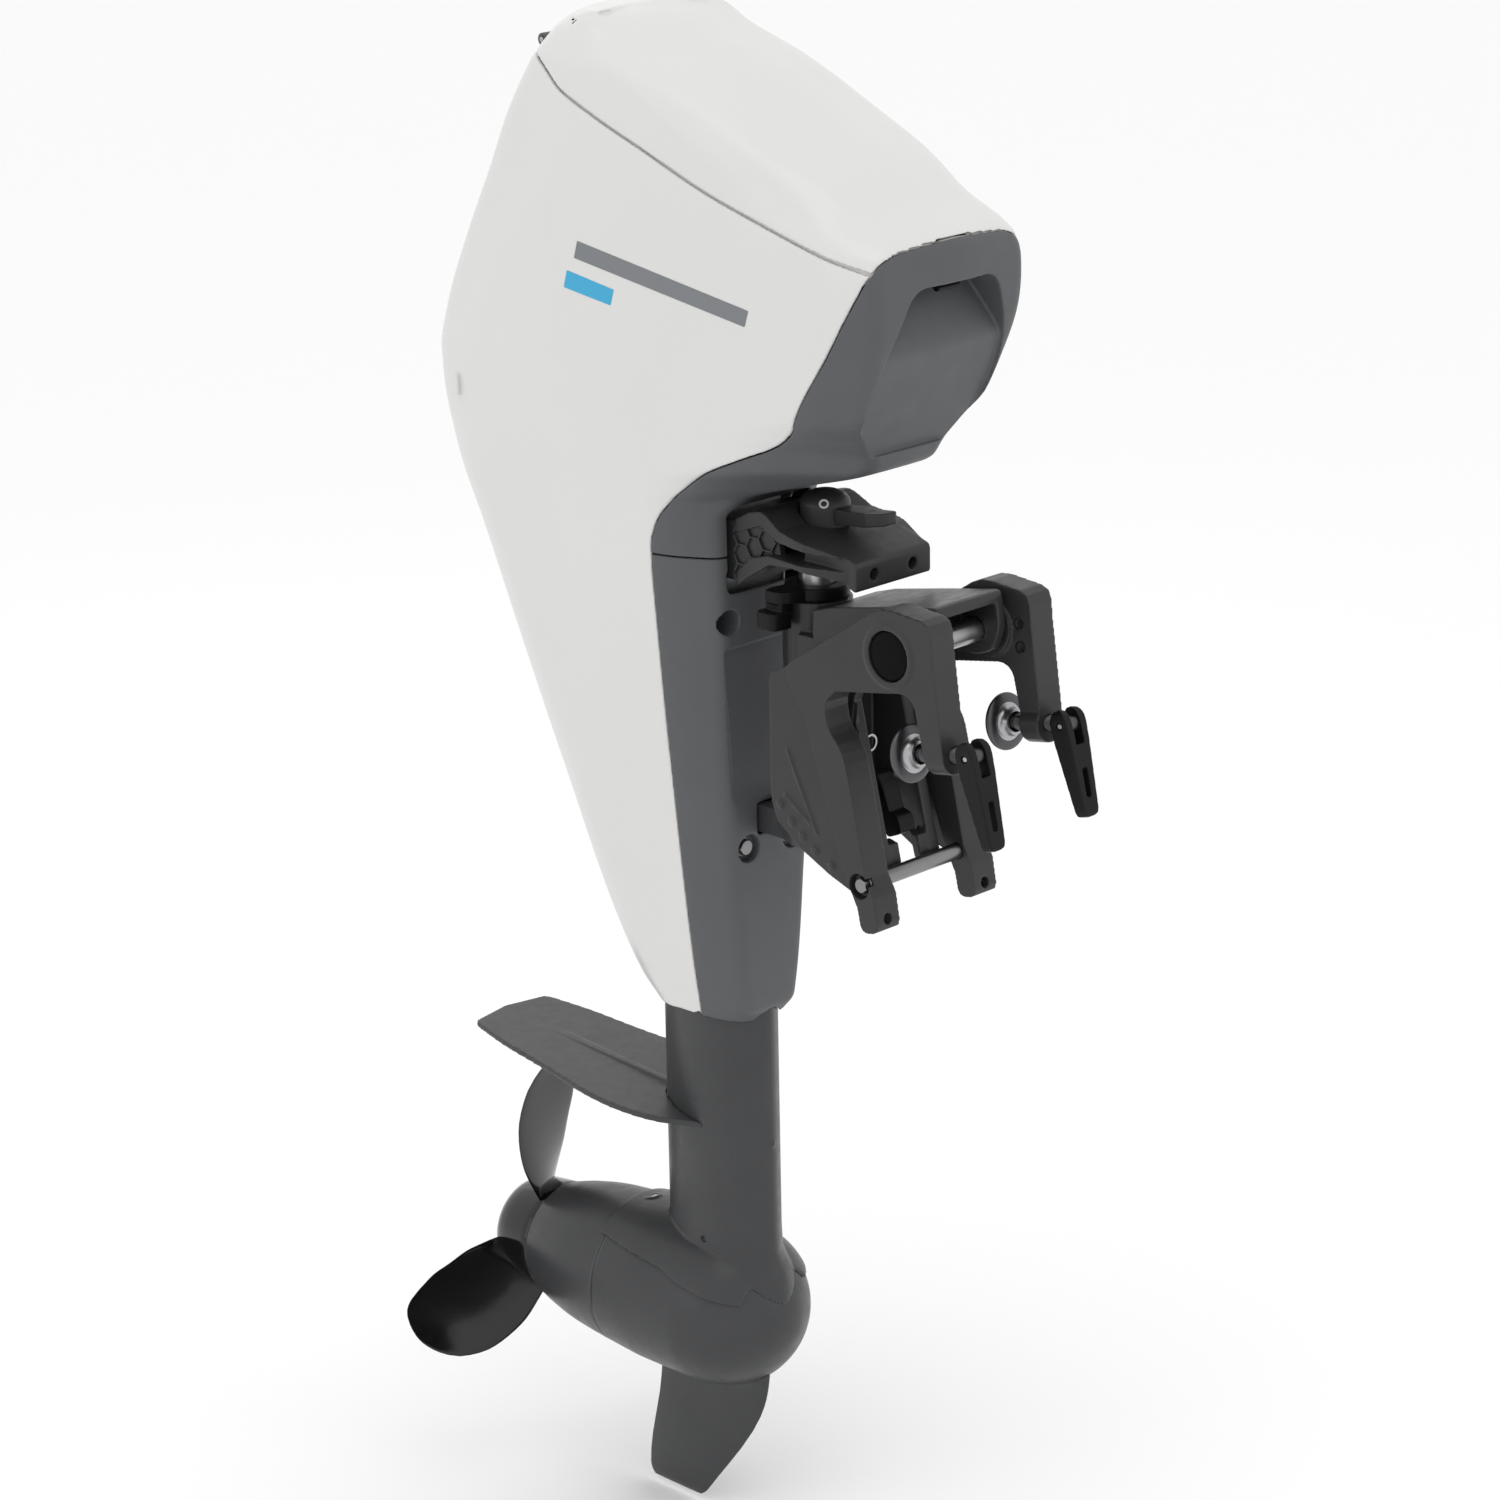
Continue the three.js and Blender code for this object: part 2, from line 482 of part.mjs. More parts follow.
const LOWER_MOUNT = { x: 12, z0: -150, z1: -128 };
function lowerMount() {
  const plan = [[-19, 80, 10], [0, 66, 16], [19, 80, 10], [19, 100, 6], [LOWER_MOUNT.x, 114, 6],
    [LOWER_MOUNT.x, 151.7], [-LOWER_MOUNT.x, 151.7], [-LOWER_MOUNT.x, 114, 6], [-19, 100, 6]];
  const arm = alongZ(plan, LOWER_MOUNT.z0, LOWER_MOUNT.z1);
  return cut(arm, rod([0, STEER_Y, -170], [0, 0, 1], 60, SHAFT_R + GAP, 20));
}
add(drive, "lower_mount", lowerMount(), charcoal);

const FRAME = { front: 152, back: 176, low: -261, shelf: 178 };
function driveFrame() {
  const web = alongX([[FRAME.front, FRAME.low], [FRAME.back, FRAME.low], [FRAME.back, 120], [230, FRAME.shelf],
    [150, FRAME.shelf], [FRAME.front, 120]], -30, 30);
  const shelf = box(-62, 62, 50, 320, FRAME.shelf, FRAME.shelf + 7);
  const window = box(-18, 18, 140, 190, -60, 30);
  const low = box(-18, 18, 140, 190, -230, -175);
  return cut(join(web, shelf), window, low);
}
add(drive, "drive_frame", driveFrame(), aluminium);

// ---------- cowl ----------
const outer = cowlSolid(0, -302, 457);
const inner = cowlSolid(WALL, -297, 453.5);

// The bezel's pocket: a shallow panel below, deepening above a ledge into a hand grip.
function pocket(more) {
  const half = [[44, 166 - more, 8], [62, 196, 12], [65, 220, 12], [59, 250], [42, 292 + more, 10]]
    .map(([x, ...rest]) => [x + more, ...rest]);
  const mirrored = half.map(([x, ...rest]) => [-x, ...rest]).reverse();
  const front = (z) => reading(COWL.front, z);
  const depth = [[-110, 158], [-110, 310], [front(292) + 40 + more, 292 + more], [front(248) + 8 + more, 248],
    [front(166) + 6 + more, 166 - more]];
  return common(alongY([...half, ...mirrored], -120, 60), alongX(depth, -WIDE, WIDE));
}

const legHole = loft([-320, -256].map((z) => legRing(z, 1.6)));
const yokeHole = alongY([[-44, 41, 6], [44, 41, 6], [44, 108, 12], [-44, 108, 12]], 90, 151);
const mountHole = box(-LOWER_MOUNT.x - 2, LOWER_MOUNT.x + 2, 120, 151, LOWER_MOUNT.z0 - 1.5,
  LOWER_MOUNT.z1 + 1.5);
// Cover bolts: height, distance off the centre plane, radius of the well and how far aft its floor is.
const BOLTS = [
  { height: "upper", x: 42, z: 20, well: 9.6, floor: 158 },
  { height: "lower", x: 23, z: -160, well: 10.8, floor: 147 },
];
const atBolts = (make) => BOLTS.flatMap((bolt) => [-1, 1].map((side) => make(bolt, side * bolt.x)));
const boltWells = atBolts(({ z, well, floor }, x) => rod([x, 120, z], [0, 1, 0], floor - 120, well, 14));
const boltSeats = atBolts(({ z, well, floor }, x) => (
  rod([x, 136, z], [0, 1, 0], floor - 132.5, well + 1.5, 14)));
const boltBores = atBolts(({ z, floor }, x) => rod([x, 120, z], [0, 1, 0], floor - 107, 3.3, 8));

const skin = cut(outer, inner);
const slits = [slit(LID_SEAM), slit(WHITE_EDGE)];
const shell = cut(skin, ...slits, legHole);

const grip = pocket(0);
const chinZone = common(outer, join(cut(ahead, aboveSeam, ...slits), bezelPlate));
const inside = cowlSolid(WALL + 0.4, -296, 453);
const gripWall = cut(common(pocket(WALL), join(inside, chinZone)), grip);
const chinBlock = join(common(skin, chinZone), gripWall);
const latchGap = box(-14, 14, -52, -4, 284, 301);
const chinSeam = box(-WIDE, WIDE, 100, 200, CHIN_SEAM_Z - 0.3, CHIN_SEAM_Z + 0.3);
const overChin = box(-WIDE, WIDE, -120, 200, CHIN_SEAM_Z, 340);
add(drive, "chin_cover",
  cut(common(chinBlock, overChin), chinSeam, yokeHole, grip, latchGap), grey);

const underChin = box(-WIDE, WIDE, 100, 200, -310, CHIN_SEAM_Z);
const panel = alongY([[-39, -121, 4], [39, -121, 4], [47, 0, 4], [-47, 0, 4]], 120, 139.5);
const panelBack = box(-51, 51, 137, 143.5, -125, 4);
const midBacking = cut(common(join(...boltSeats, panelBack), outer), yokeHole);
const midBody = join(common(skin, ahead, underChin), midBacking);
add(drive, "mid_cover",
  cut(midBody, ...slits, chinSeam, legHole, yokeHole, mountHole, panel, ...boltWells, ...boltBores), grey);

const behind = cut(shell, ahead, aboveSeam, bezelPlateClear);
for (const [name, side] of SIDES) {
  const half = box(...across(side, 0.3, WIDE), -120, 450, -310, 460);
  add(drive, `side_cowl_${name}`, common(behind, half), white);
  add(drive, `cowl_clip_${name}`,
    box(...across(side, 86.2, 89.6), 372.5, 377.5, 162, 178), white);
}
for (const { height, x, z, floor } of BOLTS) {
  for (const [name, side] of SIDES) {
    add(drive, `cover_bolt_${height}_${name}`,
      join(turned([[0, 0], [0, 6.5], [5, 6.5], [5, 0]], [side * x, floor - 5.4, z], [0, 1, 0], 6),
        rod([side * x, floor - 1, z], [0, 1, 0], 5.6, 3, 8)), steel);
  }
}

// ---------- lid, its hinge and its latch ----------
const KNUCKLE_R = 5;
const hingeLine = (x, length, radius) => rod([x, LID_HINGE.y, LID_HINGE.z], [1, 0, 0], length, radius, 12);
const pinBore = hingeLine(-60, 120, 2.4);
const lidKnuckles = [-24, 24].map((x) => join(
  hingeLine(x - 9, 18, KNUCKLE_R),
  box(x - 9, x + 9, LID_HINGE.y - 11.5, LID_HINGE.y, LID_HINGE.z + 0.6, LID_HINGE.z + 4.9)));
const keeper = box(-8, 8, -42, -38, 306, 327);
add(drive, "lid", cut(join(common(cut(shell, bezelPlateClear), aboveSeam), keeper, ...lidKnuckles), pinBore),
  white);

function lidHinge() {
  const leaf = alongX([[314.5, 421.5], [319.5, 421.5], [331, 403], [326.8, 403]], -43, 43);
  const knuckles = [-38.3, 0, 38.3].map((x) => join(
    hingeLine(x - 4.7, 9.4, KNUCKLE_R), box(x - 4.7, x + 4.7, 316, 319.5, 419, 427)));
  return cut(join(leaf, ...knuckles), pinBore);
}
add(drive, "lid_hinge", lidHinge(), grey);
add(drive, "lid_hinge_pin", hingeLine(-44, 88, 2.1), steel);

const LATCH = { y: -31, z: 301.5 };
function lidLatch() {
  const body = alongX([[-45, 287, 1.5], [-41, 284, 2], [-27, 298], [-26, 309, 2], [-35, 309, 1.5], [-35, 300]],
    -11, 11);
  return join(body, rod([-15, LATCH.y, LATCH.z], [1, 0, 0], 30, 2.2, 14));
}
add(drive, "lid_latch", lidLatch(), black);

// ---------- battery, controller and harness ----------
const SHELF_TOP = FRAME.shelf + 7;
function batteryTray() {
  const tray = box(-68, 68, 26, 300, SHELF_TOP + GAP, SHELF_TOP + 12);
  return cut(tray, box(-64.5, 64.5, 29.5, 296.5, SHELF_TOP + 4, SHELF_TOP + 20));
}
add(drive, "battery_tray", batteryTray(), black);

function batteryPack() {
  const base = SHELF_TOP + 4 + GAP;
  return alongX([[30, base, 6], [296, base, 6], [296, 372, 14], [250, 378, 10], [60, 322, 14], [30, 300, 8]],
    -64, 64, 4);
}
add(drive, "battery_pack", batteryPack(), grey);

function batteryHandle() {
  const bow = alongX([[98, 334], [104, 362, 12], [196, 390, 12], [214, 368.5], [204, 365.5], [192, 378, 8],
    [112, 353, 8], [108, 337]], -14, 14);
  return bow;
}
add(drive, "battery_handle", batteryHandle(), black);
add(drive, "battery_connector", alongX([[300.4, 205, 4], [318, 205, 4], [318, 255, 4], [296.4, 255],
  [296.4, 198], [300.4, 198]], -22, 22), black);

const CONTROLLER = { low: -60, high: 120 };
function motorController() {
  const body = box(-34, 34, 184, 226, CONTROLLER.low, CONTROLLER.high);
  const grooves = [-24, -12, 0, 12, 24].map((x) => box(x - 3, x + 3, 216, 230, CONTROLLER.low + 12, 130));
  const standoff = box(-20, 20, FRAME.back + GAP, 186, 40, 100);
  return cut(join(body, standoff), ...grooves);
}
add(drive, "motor_controller", motorController(), aluminium);

const HARNESS_R = 6;
const harnessRoute = [[0, 205, CONTROLLER.low - 0.3], [0, 205, -110], [0, 202, -180], [0, 200, -250],
  [0, 200, -330], [0, 200, -410], [0, 200, -480], [0, 202, -504], [0, 206, -517], [0, 211, -523]];
function tubeAlong(route, radius, sides, steps) {
  const path = new THREE.CatmullRomCurve3(route.map((p) => new THREE.Vector3(...p)));
  const section = new THREE.Shape(Array.from({ length: sides }, (_, i) => {
    const angle = (i / sides) * 2 * Math.PI;
    return new THREE.Vector2(radius * Math.cos(angle), radius * Math.sin(angle));
  }));
  return toSolid(new THREE.ExtrudeGeometry(section, { steps, extrudePath: path, bevelEnabled: false }));
}
add(drive, "power_harness", tubeAlong(harnessRoute, HARNESS_R, 8, 16), rubber);

// ---------- leg, plate, pod and skeg ----------
function legHousing() {
  const column = loft([-545, -480, LEG.top].map((z) => legRing(z)));
  const saddle = common(cut(podSolid(140, 292, 3.4), podSolid(128, 300, GAP)),
    alongX([[146, -532], [215, -516], [292, -510], [292, -480], [146, -480]], -80, 80));
  const screwBoss = rod([0, 274, -508], [0, 0.25, 1], 20, 9, 18);
  const bore = rod([0, 200, -560], [0, 0, 1], 320, 11, 24);
  return cut(join(column, saddle, screwBoss), podSolid(128, 300, GAP), bore);
}
add(drive, "leg_housing", legHousing(), charcoal);

const PLATE_SLOPE = 0.0811;
const plateZ = (y) => -387 + (y - 260) * PLATE_SLOPE;
function antiVentilationPlate() {
  const half = [[26, 178], [33, 192, 8], [53, 223, 20], [60, 258, 20], [60, 290, 20], [52, 348, 30], [48, 395, 20],
    [39, 439, 4]];
  const mirrored = half.map(([x, y, r]) => [-x, y, r]).reverse();
  const plan = alongZ([...half, [0, 447], ...mirrored], -420, -340);
  const slab = alongX([[170, plateZ(170) - 5], [460, plateZ(460) - 4], [460, plateZ(460)],
    [170, plateZ(170)]], -80, 80);
  const ridge = alongX([[245, plateZ(245) - 2], [390, plateZ(390) - 2], [390, plateZ(390)],
    [320, plateZ(320) + 1.5], [245, plateZ(245) + 3]], -3, 3);
  return cut(join(common(plan, slab), ridge), loft([-430, -330].map((z) => legRing(z, GAP))));
}
add(drive, "anti_ventilation_plate", antiVentilationPlate(), charcoal);

const BEARING = { inner: SHAFT_MOTOR_R + GAP, outer: 15 };
const alongPod = (profile, sides = 24) => turned(profile, [0, 0, POD_Z], [0, 1, 0], sides);
function podNose() {
  const cavity = alongPod([[182, 0], [182, 15.3], [196, 15.3], [196, 44], [206, 57], [290, 57], [290, 0]]);
  const harnessHole = rod([0, 201, -530], [0, 0, 1], 60, 9, 20);
  return cut(podSolid(128, POD_SPLIT - GAP, 0), cavity, harnessHole);
}
add(drive, "pod_nose", podNose(), charcoal);

const POD_END = 379.6;
function motorHousing() {
  const cavity = alongPod([[280, 0], [280, 57.4], [300, 56.5], [330, 53.5], [358, 47], [364, 44], [364, 16.3],
    [390, 16.3], [390, 0]]);
  return cut(podSolid(POD_SPLIT + GAP, POD_END, 0), cavity);
}
add(drive, "motor_housing", motorHousing(), charcoal);

add(drive, "stator", ring(podPoint(215), [0, 1, 0], 118, 40.5, 50, 24), copper);
add(drive, "front_bearing", ring(podPoint(183), [0, 1, 0], 10, BEARING.inner, BEARING.outer), steel);
add(drive, "rear_bearing", ring(podPoint(365), [0, 1, 0], 10, BEARING.inner, BEARING.outer), steel);
add(drive, "shaft_seal", ring(podPoint(375.4), [0, 1, 0], 4, BEARING.inner, BEARING.outer), rubber);

function skeg() {
  const levels = [-737, -728, -700, -660, -621, -595];
  const lead = [[-737, 229], [-728, 221], [-621, 153], [-595, 150]];
  const trail = [[-737, 287], [-728, 289], [-649, 274], [-595, 268]];
  const thick = [[-737, 1.6], [-728, 3], [-595, 5.5]];
  return cut(loft(levels.map((z) => {
    const [y0, y1, half] = [reading(lead, z), reading(trail, z), reading(thick, z)];
    const side = [[0.08, 0.6], [0.3, 1], [0.7, 0.8]];
    const right = side.map(([along, share]) => new THREE.Vector3(half * share, y0 + along * (y1 - y0), z));
    const left = side.map(([along, share]) => new THREE.Vector3(-half * share, y0 + along * (y1 - y0), z));
    return [new THREE.Vector3(0, y0, z), ...right, new THREE.Vector3(0, y1, z), ...left.reverse()];
  })), podSolid(128, 300, GAP));
}
add(drive, "skeg", skeg(), charcoal);

// ---------- propeller and its shaft ----------
const spin = new THREE.Group();
drive.add(spin);
add(spin, "motor_shaft", alongPod([[184, 0], [184, SHAFT_MOTOR_R], [429, SHAFT_MOTOR_R], [429, 6], [444, 6],
  [444, 0]], 24), steel);
add(spin, "rotor", ring(podPoint(218), [0, 1, 0], 112, BEARING.inner, 39.7, 24), steel);

const PROP = { y: 402, pitch: 190, blades: 3 };
const CHORD = [[34, 46], [55, 64], [80, 82], [105, 86], [125, 74], [140, 50], [148, 22]];
const SKEW = [[34, 0], [80, 0.02], [125, 0.12], [148, 0.24]];

// One blade: helical sections from the hub to the tip.
function blade(around) {
  const rings = CHORD.map(([radius, chord]) => {
    const turn = Math.atan2(PROP.pitch, 2 * Math.PI * radius);
    const thick = 0.5 + 3.2 * (1 - radius / 165);
    const steps = 5;
    const points = [];
    for (let i = 0; i < 2 * steps; i += 1) {
      const share = i <= steps ? i / steps : (2 * steps - i) / steps;
      const face = i === 0 || i === steps ? 0 : i < steps ? 1 : -1;
      const along = (share - 0.5) * chord;
      const lift = face * thick * Math.sin(Math.PI * share);
      const tangent = along * Math.cos(turn) - lift * Math.sin(turn);
      const axial = along * Math.sin(turn) + lift * Math.cos(turn) + 0.1 * (radius - 34);
      const angle = around - reading(SKEW, radius) - tangent / radius;
      points.push(new THREE.Vector3(radius * Math.cos(angle), PROP.y + axial, POD_Z + radius * Math.sin(angle)));
    }
    return points;
  });
  return loft(rings);
}

function propeller() {
  const hub = alongPod([[380.6, 0], [380.6, 45.5], [400, 44], [418, 41], [426, 36], [430, 28], [430, 0]], 28);
  const angles = Array.from({ length: PROP.blades }, (_, i) => Math.PI / 2 + (i * 2 * Math.PI) / PROP.blades);
  return cut(join(hub, ...angles.map(blade)),
    alongPod([[370, 0], [370, BEARING.inner], [440, BEARING.inner], [440, 0]], 24));
}
add(spin, "propeller", propeller(), gloss);
add(spin, "propeller_nut", cut(rod(podPoint(430.6), [0, 1, 0], 9, 12, 6), rod(podPoint(420), [0, 1, 0], 30, 6.4)),
  steel);

export default group;
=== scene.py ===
"""The looks of a small electric outboard motor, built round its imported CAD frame.

Lengths are millimetres in the row frame (+X port, +Y aft, +Z up) until new_object turns them into metres;
the camera and the lamps are placed in metres. Castings and moulded covers are joined from closed solids, then
remeshed evenly and smoothed, so that their edges are rolled as on the real parts. Turned parts are lathed.
"""
import json
import math

import bmesh
import bpy
import numpy as np
from mathutils import Matrix, Vector
from mathutils.bvhtree import BVHTree


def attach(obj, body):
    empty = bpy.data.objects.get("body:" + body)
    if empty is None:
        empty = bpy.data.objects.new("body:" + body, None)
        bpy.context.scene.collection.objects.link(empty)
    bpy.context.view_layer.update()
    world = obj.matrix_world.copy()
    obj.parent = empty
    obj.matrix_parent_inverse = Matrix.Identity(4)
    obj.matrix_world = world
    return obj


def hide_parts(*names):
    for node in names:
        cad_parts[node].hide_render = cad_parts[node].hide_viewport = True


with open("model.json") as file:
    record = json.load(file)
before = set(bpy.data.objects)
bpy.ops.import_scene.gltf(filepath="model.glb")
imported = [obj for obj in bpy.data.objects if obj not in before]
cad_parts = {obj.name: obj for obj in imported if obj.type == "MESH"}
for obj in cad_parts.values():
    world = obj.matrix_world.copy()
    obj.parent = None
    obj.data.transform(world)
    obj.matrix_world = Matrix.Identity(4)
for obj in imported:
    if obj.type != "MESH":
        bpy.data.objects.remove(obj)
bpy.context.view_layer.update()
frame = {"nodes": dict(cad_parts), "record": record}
MM = 0.001
SIDES = (("starboard", -1), ("port", 1))
RAKE = math.radians(10)  # the clamp bracket leans with the transom


def add_object(name, data):
    """A new object in the scene that shows this data."""
    obj = bpy.data.objects.new(name, data)
    bpy.context.scene.collection.objects.link(obj)
    return obj


# ---------------------------------------------------------------- camera and light
def place_camera():
    """The reference view: a long lens from the starboard bow, a little above the horizon."""
    azimuth, elevation, roll = math.radians(-44.92), math.radians(17.98), math.radians(-1.094)
    back = Vector((math.sin(azimuth) * math.cos(elevation), -math.cos(azimuth) * math.cos(elevation),
                   math.sin(elevation)))
    level = (-back).cross(Vector((0, 0, 1))).normalized()
    upright = level.cross(-back)
    right = math.cos(roll) * level + math.sin(roll) * upright
    up = -math.sin(roll) * level + math.cos(roll) * upright
    data = bpy.data.cameras.new("camera")
    data.sensor_width = 36
    data.lens = 105.61
    data.clip_end = 50
    camera = add_object("camera", data)
    turn = Matrix((right, up, back)).transposed().to_4x4()
    place = Vector((-2.2091, -2.0557, 0.9225))
    camera.matrix_world = Matrix.Translation(place) @ turn
    bpy.context.scene.camera = camera


def area_light(name, place, target, size, power):
    data = bpy.data.lights.new(name, "AREA")
    data.shape = "RECTANGLE"
    data.size, data.size_y = size
    data.energy = power
    light = add_object(name, data)
    aim = Vector(target) - Vector(place)
    light.matrix_world = Matrix.Translation(Vector(place)) @ aim.to_track_quat("-Z", "Y").to_matrix().to_4x4()


def set_studio():
    """Even white surroundings with a broad lamp above and two softer ones at the sides."""
    world = bpy.data.worlds.new("studio")
    world.use_nodes = True
    world.node_tree.nodes["Background"].inputs["Color"].default_value = (1, 1, 1, 1)
    world.node_tree.nodes["Background"].inputs["Strength"].default_value = 0.97
    bpy.context.scene.world = world
    bpy.context.scene.view_settings.view_transform = "Standard"
    area_light("lamp_top", (-0.6, -0.4, 2.6), (0, 0.1, -0.1), (1.8, 1.8), 9)
    area_light("lamp_bow", (0.9, -2.4, 0.7), (0, 0.1, -0.1), (1.0, 1.6), 3.5)
    area_light("lamp_starboard", (-2.6, 0.9, 0.5), (0, 0.15, 0), (1.0, 1.8), 3)
    area_light("lamp_aft", (1.2, 2.4, 1.2), (0, 0.15, 0), (1.4, 1.4), 2)


# ---------------------------------------------------------------- reading tables and drawing lines
def smooth_reading(table):
    """A smooth line through [position, value] pairs that never passes beyond them."""
    x, y = np.array(table, float).T
    step = np.diff(x)
    slope = np.diff(y) / step
    rate = np.zeros_like(y)
    rate[0], rate[-1] = slope[0], slope[-1]
    for i in range(1, len(x) - 1):
        if slope[i - 1] * slope[i] > 0:
            a, b = 2 * step[i] + step[i - 1], step[i] + 2 * step[i - 1]
            rate[i] = (a + b) / (a / slope[i - 1] + b / slope[i])

    def read(at):
        at = min(max(at, x[0]), x[-1])
        i = min(int(np.searchsorted(x, at, side="right")) - 1, len(step) - 1)
        t = (at - x[i]) / step[i]
        return float((1 + 2 * t) * (1 - t) ** 2 * y[i] + t * (1 - t) ** 2 * step[i] * rate[i]
                     + t * t * (3 - 2 * t) * y[i + 1] - t * t * (1 - t) * step[i] * rate[i + 1])
    return read


def spline(points, steps=6, closed=False):
    """A Catmull-Rom line through the points."""
    p = [np.array(q, float) for q in points]
    count = len(p)
    line = []
    for i in range(count if closed else count - 1):
        if closed:
            a, b, c, d = p[i - 1], p[i], p[(i + 1) % count], p[(i + 2) % count]
        else:
            a, b, c, d = p[max(i - 1, 0)], p[i], p[i + 1], p[min(i + 2, count - 1)]
        for k in range(steps):
            t = k / steps
            line.append(0.5 * (2 * b + (c - a) * t + (2 * a - 5 * b + 4 * c - d) * t * t
                               + (3 * b - a - 3 * c + d) * t ** 3))
    return line if closed else line + [p[-1]]


def rounded(corners, steps=6):
    """Corners [a, b] or [a, b, radius] as a closed line with its corners rounded."""
    line = []
    for i, corner in enumerate(corners):
        here = np.array(corner[:2], float)
        radius = corner[2] if len(corner) > 2 else 0
        if not radius:
            line.append(here)
            continue
        back = np.array(corners[i - 1][:2], float) - here
        ahead = np.array(corners[(i + 1) % len(corners)][:2], float) - here
        reach = min(radius, 0.48 * np.linalg.norm(back), 0.48 * np.linalg.norm(ahead))
        start, end = here + back / np.linalg.norm(back) * reach, here + ahead / np.linalg.norm(ahead) * reach
        for k in range(steps + 1):
            t = k / steps
            line.append((1 - t) ** 2 * start + 2 * t * (1 - t) * here + t * t * end)
    return line


def mirrored(points):
    """Points (X, ...) of one side as those of the other, in reverse order."""
    return [(-x, *rest) for x, *rest in reversed(points)]


def span(side, near, far):
    """Limits in X of a stretch on one side, low and high."""
    return sorted((side * near, side * far))


# ---------------------------------------------------------------- solids
def new_object(name, points, faces):
    """A mesh object from points in millimetres, with its faces turned outwards."""
    mesh = bpy.data.meshes.new(name)
    mesh.from_pydata([tuple(float(c) * MM for c in p) for p in points], [], faces)
    obj = add_object(name, mesh)
    work = bmesh.new()
    work.from_mesh(mesh)
    bmesh.ops.remove_doubles(work, verts=work.verts, dist=1e-7)
    bmesh.ops.recalc_face_normals(work, faces=work.faces)
    work.to_mesh(mesh)
    work.free()
    return obj


def loft(rings):
    """A closed body through rings that have the same number of points."""
    count = len(rings[0])
    points = [p for ring in rings for p in ring] + [np.mean(rings[0], axis=0), np.mean(rings[-1], axis=0)]
    low, high, last = len(points) - 2, len(points) - 1, (len(rings) - 1) * count
    faces = []
    for i in range(count):
        j = (i + 1) % count
        faces += [(low, j, i), (high, last + i, last + j)]
        for k in range(len(rings) - 1):
            a, b = k * count, (k + 1) * count
            faces.append((a + i, a + j, b + j, b + i))
    return new_object("loft", points, faces)


def prism(line, axis, low, high):
    """A closed line drawn out along an axis: (Y, Z) along X, (X, Z) along Y or (X, Y) along Z."""
    count = len(line)
    place = {"x": lambda p, s: (s, p[0], p[1]), "y": lambda p, s: (p[0], s, p[1]),
             "z": lambda p, s: (p[0], p[1], s)}[axis]
    points = [place(p, low) for p in line] + [place(p, high) for p in line]
    faces = [tuple(range(count)), tuple(range(count, 2 * count))]
    faces += [(i, (i + 1) % count, count + (i + 1) % count, count + i) for i in range(count)]
    return new_object("prism", points, faces)


def block(x, y, z):
    """A box between three pairs of limits, only ever a tool or a part of a larger piece."""
    return prism([(x[0], y[0]), (x[1], y[0]), (x[1], y[1]), (x[0], y[1])], "z", *z)


def turned(profile, base, axis, sides=64):
    """A body turned about a line: the profile is [distance along it, radius]."""
    along = Vector(axis).normalized()
    turn = Vector((0, 0, 1)).rotation_difference(along).to_matrix()
    base = Vector(base)
    rows = []
    for distance, radius in profile:
        count = 1 if radius < 1e-6 else sides
        row = []
        for k in range(count):
            angle = 2 * math.pi * k / sides
            row.append(base + turn @ Vector((radius * math.cos(angle), radius * math.sin(angle), distance)))
        rows.append(row)
    points, starts = [], []
    for row in rows:
        starts.append(len(points))
        points += row
    faces = []
    pairs = list(zip(range(len(rows) - 1), range(1, len(rows))))
    if len(rows[0]) > 1 and len(rows[-1]) > 1 and profile[0] != profile[-1]:
        pairs.append((len(rows) - 1, 0))
    for a, b in pairs:
        for k in range(sides):
            j = (k + 1) % sides
            first = [starts[a] + i % len(rows[a]) for i in (k, j)]
            second = [starts[b] + i % len(rows[b]) for i in (j, k)]
            face = list(dict.fromkeys(first + second))
            if len(face) > 2:
                faces.append(tuple(face))
    return new_object("turned", points, faces)


def rod(base, axis, length, radius, edge=0.0, sides=64):
    """A round bar with small chamfers."""
    profile = [(0, 0), (0, radius - edge), (edge, radius), (length - edge, radius), (length, radius - edge),
               (length, 0)] if edge else [(0, 0), (0, radius), (length, radius), (length, 0)]
    return turned(profile, base, axis, sides)


def hexagon(base, axis, height, across):
    """A hexagonal head with its corners turned away at the outer end."""
    radius = across / math.sqrt(3)
    shape = turned([(0, 0), (0, radius), (height, radius), (height, 0)], base, axis, 6)
    limit = turned([(-1, 0), (-1, radius + 1), (height - 1.0, radius + 0.2), (height + 0.2, across * 0.47),
                    (height + 0.2, 0)], base, axis, 48)
    return common(shape, limit)


def clone(obj):
    return add_object(obj.name, obj.data.copy())


def settle(obj):
    """Applies an object's modifiers."""
    bpy.context.view_layer.update()
    mesh = bpy.data.meshes.new_from_object(obj.evaluated_get(bpy.context.evaluated_depsgraph_get()))
    obj.modifiers.clear()
    obj.data = mesh
    return obj


def combine(first, others, operation):
    for other in others:
        step = first.modifiers.new("step", "BOOLEAN")
        step.operation = operation
        step.solver = "MANIFOLD"
        step.object = other
        settle(first)
        bpy.data.objects.remove(other)
    return first


def cut(first, *others):
    return combine(first, others, "DIFFERENCE")


def common(first, *others):
    return combine(first, others, "INTERSECT")


def join(first, *others):
    return combine(first, others, "UNION")


def gather(*objects):
    """Overlapping closed bodies in one mesh, for even() to make one skin of."""
    work = bmesh.new()
    for obj in objects:
        work.from_mesh(obj.data)
    first = objects[0]
    work.to_mesh(first.data)
    work.free()
    for obj in objects[1:]:
        bpy.data.objects.remove(obj)
    return first


